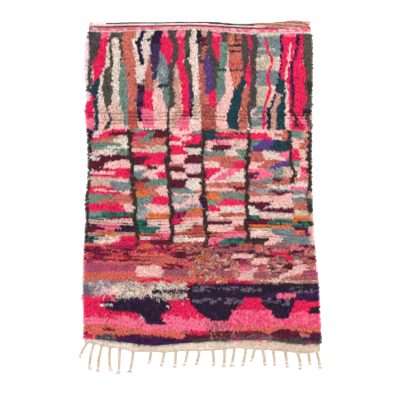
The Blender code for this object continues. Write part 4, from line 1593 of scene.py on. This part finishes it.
def make_hem_roll():
    """The mottled roll at the right of the head: strands side by side, with a knotted end at the corner."""
    shape = Shape()
    wools = [wool("roll_" + name, colour, contrast=0.5) for name, colour in ROLL_WOOLS.items()]
    for index in range(ROLL_STRANDS):
        offset = (index - (ROLL_STRANDS - 1) / 2) / ROLL_STRANDS
        path = hem_path(ROLL_FROM_X + 0.02 * (index % 3), ROLL_TO_X, 0.27, 0.0085, ROLL_STATIONS)
        opening = np.interp(path[:, 0], (0.28, 0.36, 0.48, 0.70), (0.15, 0.60, 0.88, 1.0))
        phase = path[:, 0] * 2 * np.pi / ROLL_WEAVE + index * 2.1
        path[:, 1] -= (offset + 0.10 * np.sin(phase)) * ROLL_WIDTH * opening
        path[:, 2] += 0.0026 * np.cos(phase) + 0.001
        radii = cord_radii(1, ROLL_STATIONS, ROLL_STRAND_RADIUS) * (0.75 + 0.25 * opening)[None]
        shape.add(*tubes(path[None], radii, 6), slot=index % 4)
    add_roll_ends(shape)
    return piece_of("hem_roll", shape, wools)


def add_roll_ends(shape):
    """The red and pale knotted ends where the roll stops at the corner."""
    rng = np.random.default_rng(12)
    angle = rng.uniform(-0.5, 2.2, ROLL_ENDS)
    root = points(rng.uniform(0.672, 0.690, ROLL_ENDS), rng.uniform(1.095, 1.122, ROLL_ENDS), 0.009)
    reach = rng.uniform(0.008, 0.018, ROLL_ENDS)
    tip = root + points(np.cos(angle) * reach, np.sin(angle) * reach * 0.7, -0.003)
    crest = (root + tip) / 2 + np.array([0, 0, 0.010])
    paths = bezier(root, crest, tip, (0.0, 0.25, 0.5, 0.8, 1.0))
    radii = np.full((ROLL_ENDS, 1), ROLL_END_RADIUS) * np.array([1.0, 1.0, 1.0, 0.8, 0.0])
    shape.add(*tubes(paths[:RED_ENDS], radii[:RED_ENDS], 6), slot=4)
    shape.add(*tubes(paths[RED_ENDS:], radii[RED_ENDS:], 6), slot=5)


def make_hem_stitches(wools):
    """The close slanting loops of pink and pale wool that bind the hem's band."""
    rng = np.random.default_rng(8)
    count = STITCHES_IN_ROW
    shape = Shape()
    for top, bottom, paleness in STITCH_ROWS:
        x = np.linspace(STITCH_FROM_X, STITCH_TO_X, count) + rng.normal(0, 0.0009, count)
        head, _ = across_at(x)
        shares = np.linspace(top, bottom, len(STITCH_HEIGHTS))
        slant = rng.normal(0.010, 0.0025, count)
        paths = np.empty((count, len(STITCH_HEIGHTS), 3))
        paths[:, :, 0] = x[:, None] + slant[:, None] * (shares - (top + bottom) / 2)[None] * 5
        paths[:, :, 1] = head[:, None] - hem_depth(x)[:, None] * shares[None]
        paths[:, :, 2] = np.array(STITCH_HEIGHTS)[None] + rng.normal(0, 0.0007, count)[:, None]
        radii = np.full(paths.shape[:2], STITCH_RADIUS)
        radii[:, -1] = 0
        pale = paleness + 0.7 * smooth_noise(x / 0.017, top * 9, 74) + 0.4 * smooth_noise(x / 0.09, 0.8, 75)
        kind = np.where(pale > 0.15, 1, np.where(pale < -0.55, 2, 0))
        for slot in range(len(wools)):
            shape.add(*tubes(paths[kind == slot], radii[kind == slot], 5), slot=slot)
    return piece_of("hem_stitches", shape, wools)


def make_ragged_line(cream):
    """The short cream ends between the hem and the first row of knots, and the knob at the left corner."""
    rng = np.random.default_rng(9)
    count = RAGGED_ENDS
    x = rng.uniform(RAGGED_FROM_X, RAGGED_TO_X, count)
    head, _ = across_at(x)
    y = head - hem_depth(x) * rng.uniform(0.84, 0.97, count)
    reach = rng.uniform(0.005, 0.013, count)
    drift = rng.normal(0, 0.004, count)
    root = points(x, y, 0.006)
    crest = points(x + drift * 0.4, y - reach * 0.4, 0.020)
    tip = points(x + drift, y - reach, 0.013)
    radii = uneven_radii(rng, count, RAGGED_RADIUS, 0.8, 1.2, (0.9, 1.0, 0.8, 0.0))
    shape = Shape()
    shape.add(*tubes(bezier(root, crest, tip, (0.0, 0.35, 0.7, 1.0)), radii, 4))
    angle = np.linspace(0, 2 * np.pi * 2.5, KNOB_STATIONS)
    knob_x = KNOB_X + KNOB_REACH * np.cos(angle)
    knob_y = KNOB_Y + KNOB_REACH * np.sin(angle)
    knob = points(knob_x, knob_y, 0.010 + angle * 0.0004)
    shape.add(*tubes(knob[None], cord_radii(1, KNOB_STATIONS, KNOB_RADIUS), 6))
    return piece_of("hem_ragged_line", shape, [cream])


# The tassels


def tassel_line(tassel, share):
    """Points on the tassel's middle line, a parabola through its root, bend and tip."""
    root_weight = (1 - share) * (1 - 2 * share)
    bend_weight = 4 * share * (1 - share)
    tip_weight = share * (2 * share - 1)
    x = tassel.root_x * root_weight + tassel.bend_x * bend_weight + tassel.tip_x * tip_weight
    y = tassel.root_y + (tassel.tip_y - tassel.root_y) * share
    return x, y


def tassel_knot(shape, tassel, share):
    """A knot: two turns of the cord round itself."""
    x, y = tassel_line(tassel, share)
    angle = np.linspace(0, 2 * np.pi * 2.2, KNOT_STATIONS)
    along = np.linspace(-KNOT_HALF_LENGTH, KNOT_HALF_LENGTH, KNOT_STATIONS)
    ahead = np.array([tassel.tip_x - tassel.bend_x, tassel.tip_y - tassel.root_y]) / 2
    ahead /= np.linalg.norm(ahead)
    across = np.array([-ahead[1], ahead[0]])
    path = points(
        x + across[0] * KNOT_REACH * np.cos(angle) + ahead[0] * along,
        y + across[1] * KNOT_REACH * np.cos(angle) + ahead[1] * along,
        KNOT_HEIGHT + 0.0051 * np.sin(angle),
    )
    shape.add(*tubes(path[None], cord_radii(1, KNOT_STATIONS, KNOT_RADIUS), 6), slot=2)


def make_tassels(wools):
    """The plied and knotted tassels, the threads that gather into their roots and their frayed tufts."""
    rng = np.random.default_rng(10)
    shape = Shape()
    share = np.linspace(-0.04, KNOT_SHARE, PLY_STATIONS)
    for tassel in TASSELS:
        x, y = tassel_line(tassel, share)
        wobble = 0.0012 * smooth_noise(share * 7, tassel.root_x * 50, 81)
        path = points(x + wobble, y, TASSEL_HEIGHT)
        plies = twisted(path, PLY_RADIUS, PLY_TURN * rng.uniform(0.85, 1.2))
        shape.add(*tubes(plies, cord_radii(2, PLY_STATIONS, PLY_RADIUS), 6))
        tassel_knot(shape, tassel, KNOT_SHARE)
        if tassel.knots == 2:
            tassel_knot(shape, tassel, EXTRA_KNOT_SHARE)
        add_tuft(shape, tassel, rng)
        add_root_threads(shape, tassel, rng)
    add_weft_edge(shape)
    return piece_of("tassels", shape, wools, "fringe")


def add_tuft(shape, tassel, rng):
    """The frayed ends past the last knot."""
    count = TUFT_THREADS
    start_x, start_y = tassel_line(tassel, KNOT_SHARE + 0.02)
    end_x, end_y = tassel_line(tassel, 1.0)
    spread = rng.normal(0, TUFT_SPREAD, count)
    reach = rng.uniform(0.75, 1.04, count)
    root = points(start_x + spread * 0.3, start_y, rng.uniform(0.005, 0.010, count))
    tip_x = start_x + (end_x - start_x) * reach + spread * 1.5
    tip_y = start_y + (end_y - start_y) * reach
    tip = points(tip_x, tip_y, rng.uniform(0.0012, 0.004, count))
    crest = (root + tip) / 2 + points(spread, 0.0, rng.uniform(0, 0.002, count))
    paths = bezier(root, crest, tip, (0.0, 0.3, 0.6, 0.85, 1.0))
    radii = uneven_radii(rng, count, TUFT_RADIUS, 0.8, 1.2, (1.0, 1.0, 1.0, 0.8, 0.0))
    shape.add(*tubes(paths, radii, 4), slot=2)


def add_root_threads(shape, tassel, rng):
    """The warp threads that run out of the band's edge and gather into the tassel's root."""
    count = ROOT_THREADS
    offset = np.linspace(-ROOT_HALF_WIDTH, ROOT_HALF_WIDTH, count) + rng.normal(0, 0.001, count)
    from_x = tassel.root_x + offset
    from_y = foot_at(from_x) + 0.004
    into_x, into_y = tassel_line(tassel, 0.10)
    start = points(from_x, from_y, 0.0035)
    end = points(into_x + offset * 0.08, into_y, rng.uniform(0.004, 0.008, count))
    middle = points(from_x * 0.55 + into_x * 0.45, from_y * 0.5 + into_y * 0.5, 0.006)
    paths = bezier(start, middle, end, (0.0, 0.3, 0.6, 0.85, 1.0))
    radii = uneven_radii(rng, count, ROOT_THREAD_RADIUS, 0.85, 1.2, (1.0, 1.0, 1.0, 0.9, 0.0))
    shape.add(*tubes(paths, radii, 4), slot=1)


def add_weft_edge(shape):
    """The twined cord that closes the foot edge."""
    x = np.linspace(WEFT_FROM_X, WEFT_TO_X, WEFT_STATIONS)
    path = points(x, foot_at(x) - 0.003, 0.0045)
    plies = twisted(path, WEFT_RADIUS, WEFT_TURN)
    shape.add(*tubes(plies, cord_radii(2, WEFT_STATIONS, WEFT_RADIUS), 4), slot=1)


# The studio


def make_studio():
    """A plain pale floor, soft light from above and a camera straight over the rug."""
    bpy.ops.mesh.primitive_plane_add(size=FLOOR_SIZE, location=(0, 0, FLOOR_Z))
    floor = bpy.context.object
    floor.name = "floor"
    floor.data.materials.append(plain("floor_white", FLOOR_COLOUR))
    world = bpy.data.worlds.new("studio")
    bpy.context.scene.world = world
    world.use_nodes = True
    sky = world.node_tree.nodes["Background"]
    sky.inputs["Color"].default_value = (1, 1, 1, 1)
    sky.inputs["Strength"].default_value = SKY_STRENGTH
    for name, place, size, power in LIGHTS:
        add_light(name, place, size, power)
    camera_data = bpy.data.cameras.new("camera")
    camera_data.lens = LENS_MM
    camera_data.sensor_width = SENSOR_MM
    camera = bpy.data.objects.new("camera", camera_data)
    camera.location = (0, row_at(PHOTO_MIDDLE_ROW), CAMERA_HEIGHT)
    bpy.context.scene.collection.objects.link(camera)
    bpy.context.scene.camera = camera
    bpy.context.scene.view_settings.view_transform = "Standard"


def add_light(name, place, size, power):
    """A square soft light that looks at the rug's middle."""
    light_data = bpy.data.lights.new(name, "AREA")
    light_data.size = size
    light_data.energy = power
    light = bpy.data.objects.new(name, light_data)
    light.location = place
    direction = -light.location
    light.rotation_euler = direction.to_track_quat("-Z", "Y").to_euler()
    bpy.context.scene.collection.objects.link(light)


def main():
    """The whole scene."""
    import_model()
    make_studio()
    materials = [wool("yarn_" + name, colour) for name, colour in YARNS.items()]
    materials.append(wool("hem_cream", HEM_CREAM, contrast=0.45))
    for name, colour in FOOT_TINTS.items():
        materials.append(wool(name, colour, grain=110.0, contrast=0.30))
    pile = make_pile(materials[:YARN_COUNT])
    # The ground's pile faces, and the hem's wine and pink bands, take the yarns' painted-shade copies
    ground = make_ground(shaded_ground_wools(materials))
    hem = make_hem(materials)
    cord = wool("tassel_cord", TASSEL_CORD, grain=220.0, contrast=0.6)
    tuft = wool("tassel_tuft", TASSEL_TUFT, contrast=0.3)
    tassels = make_tassels([cord, materials[-1], tuft])


main()
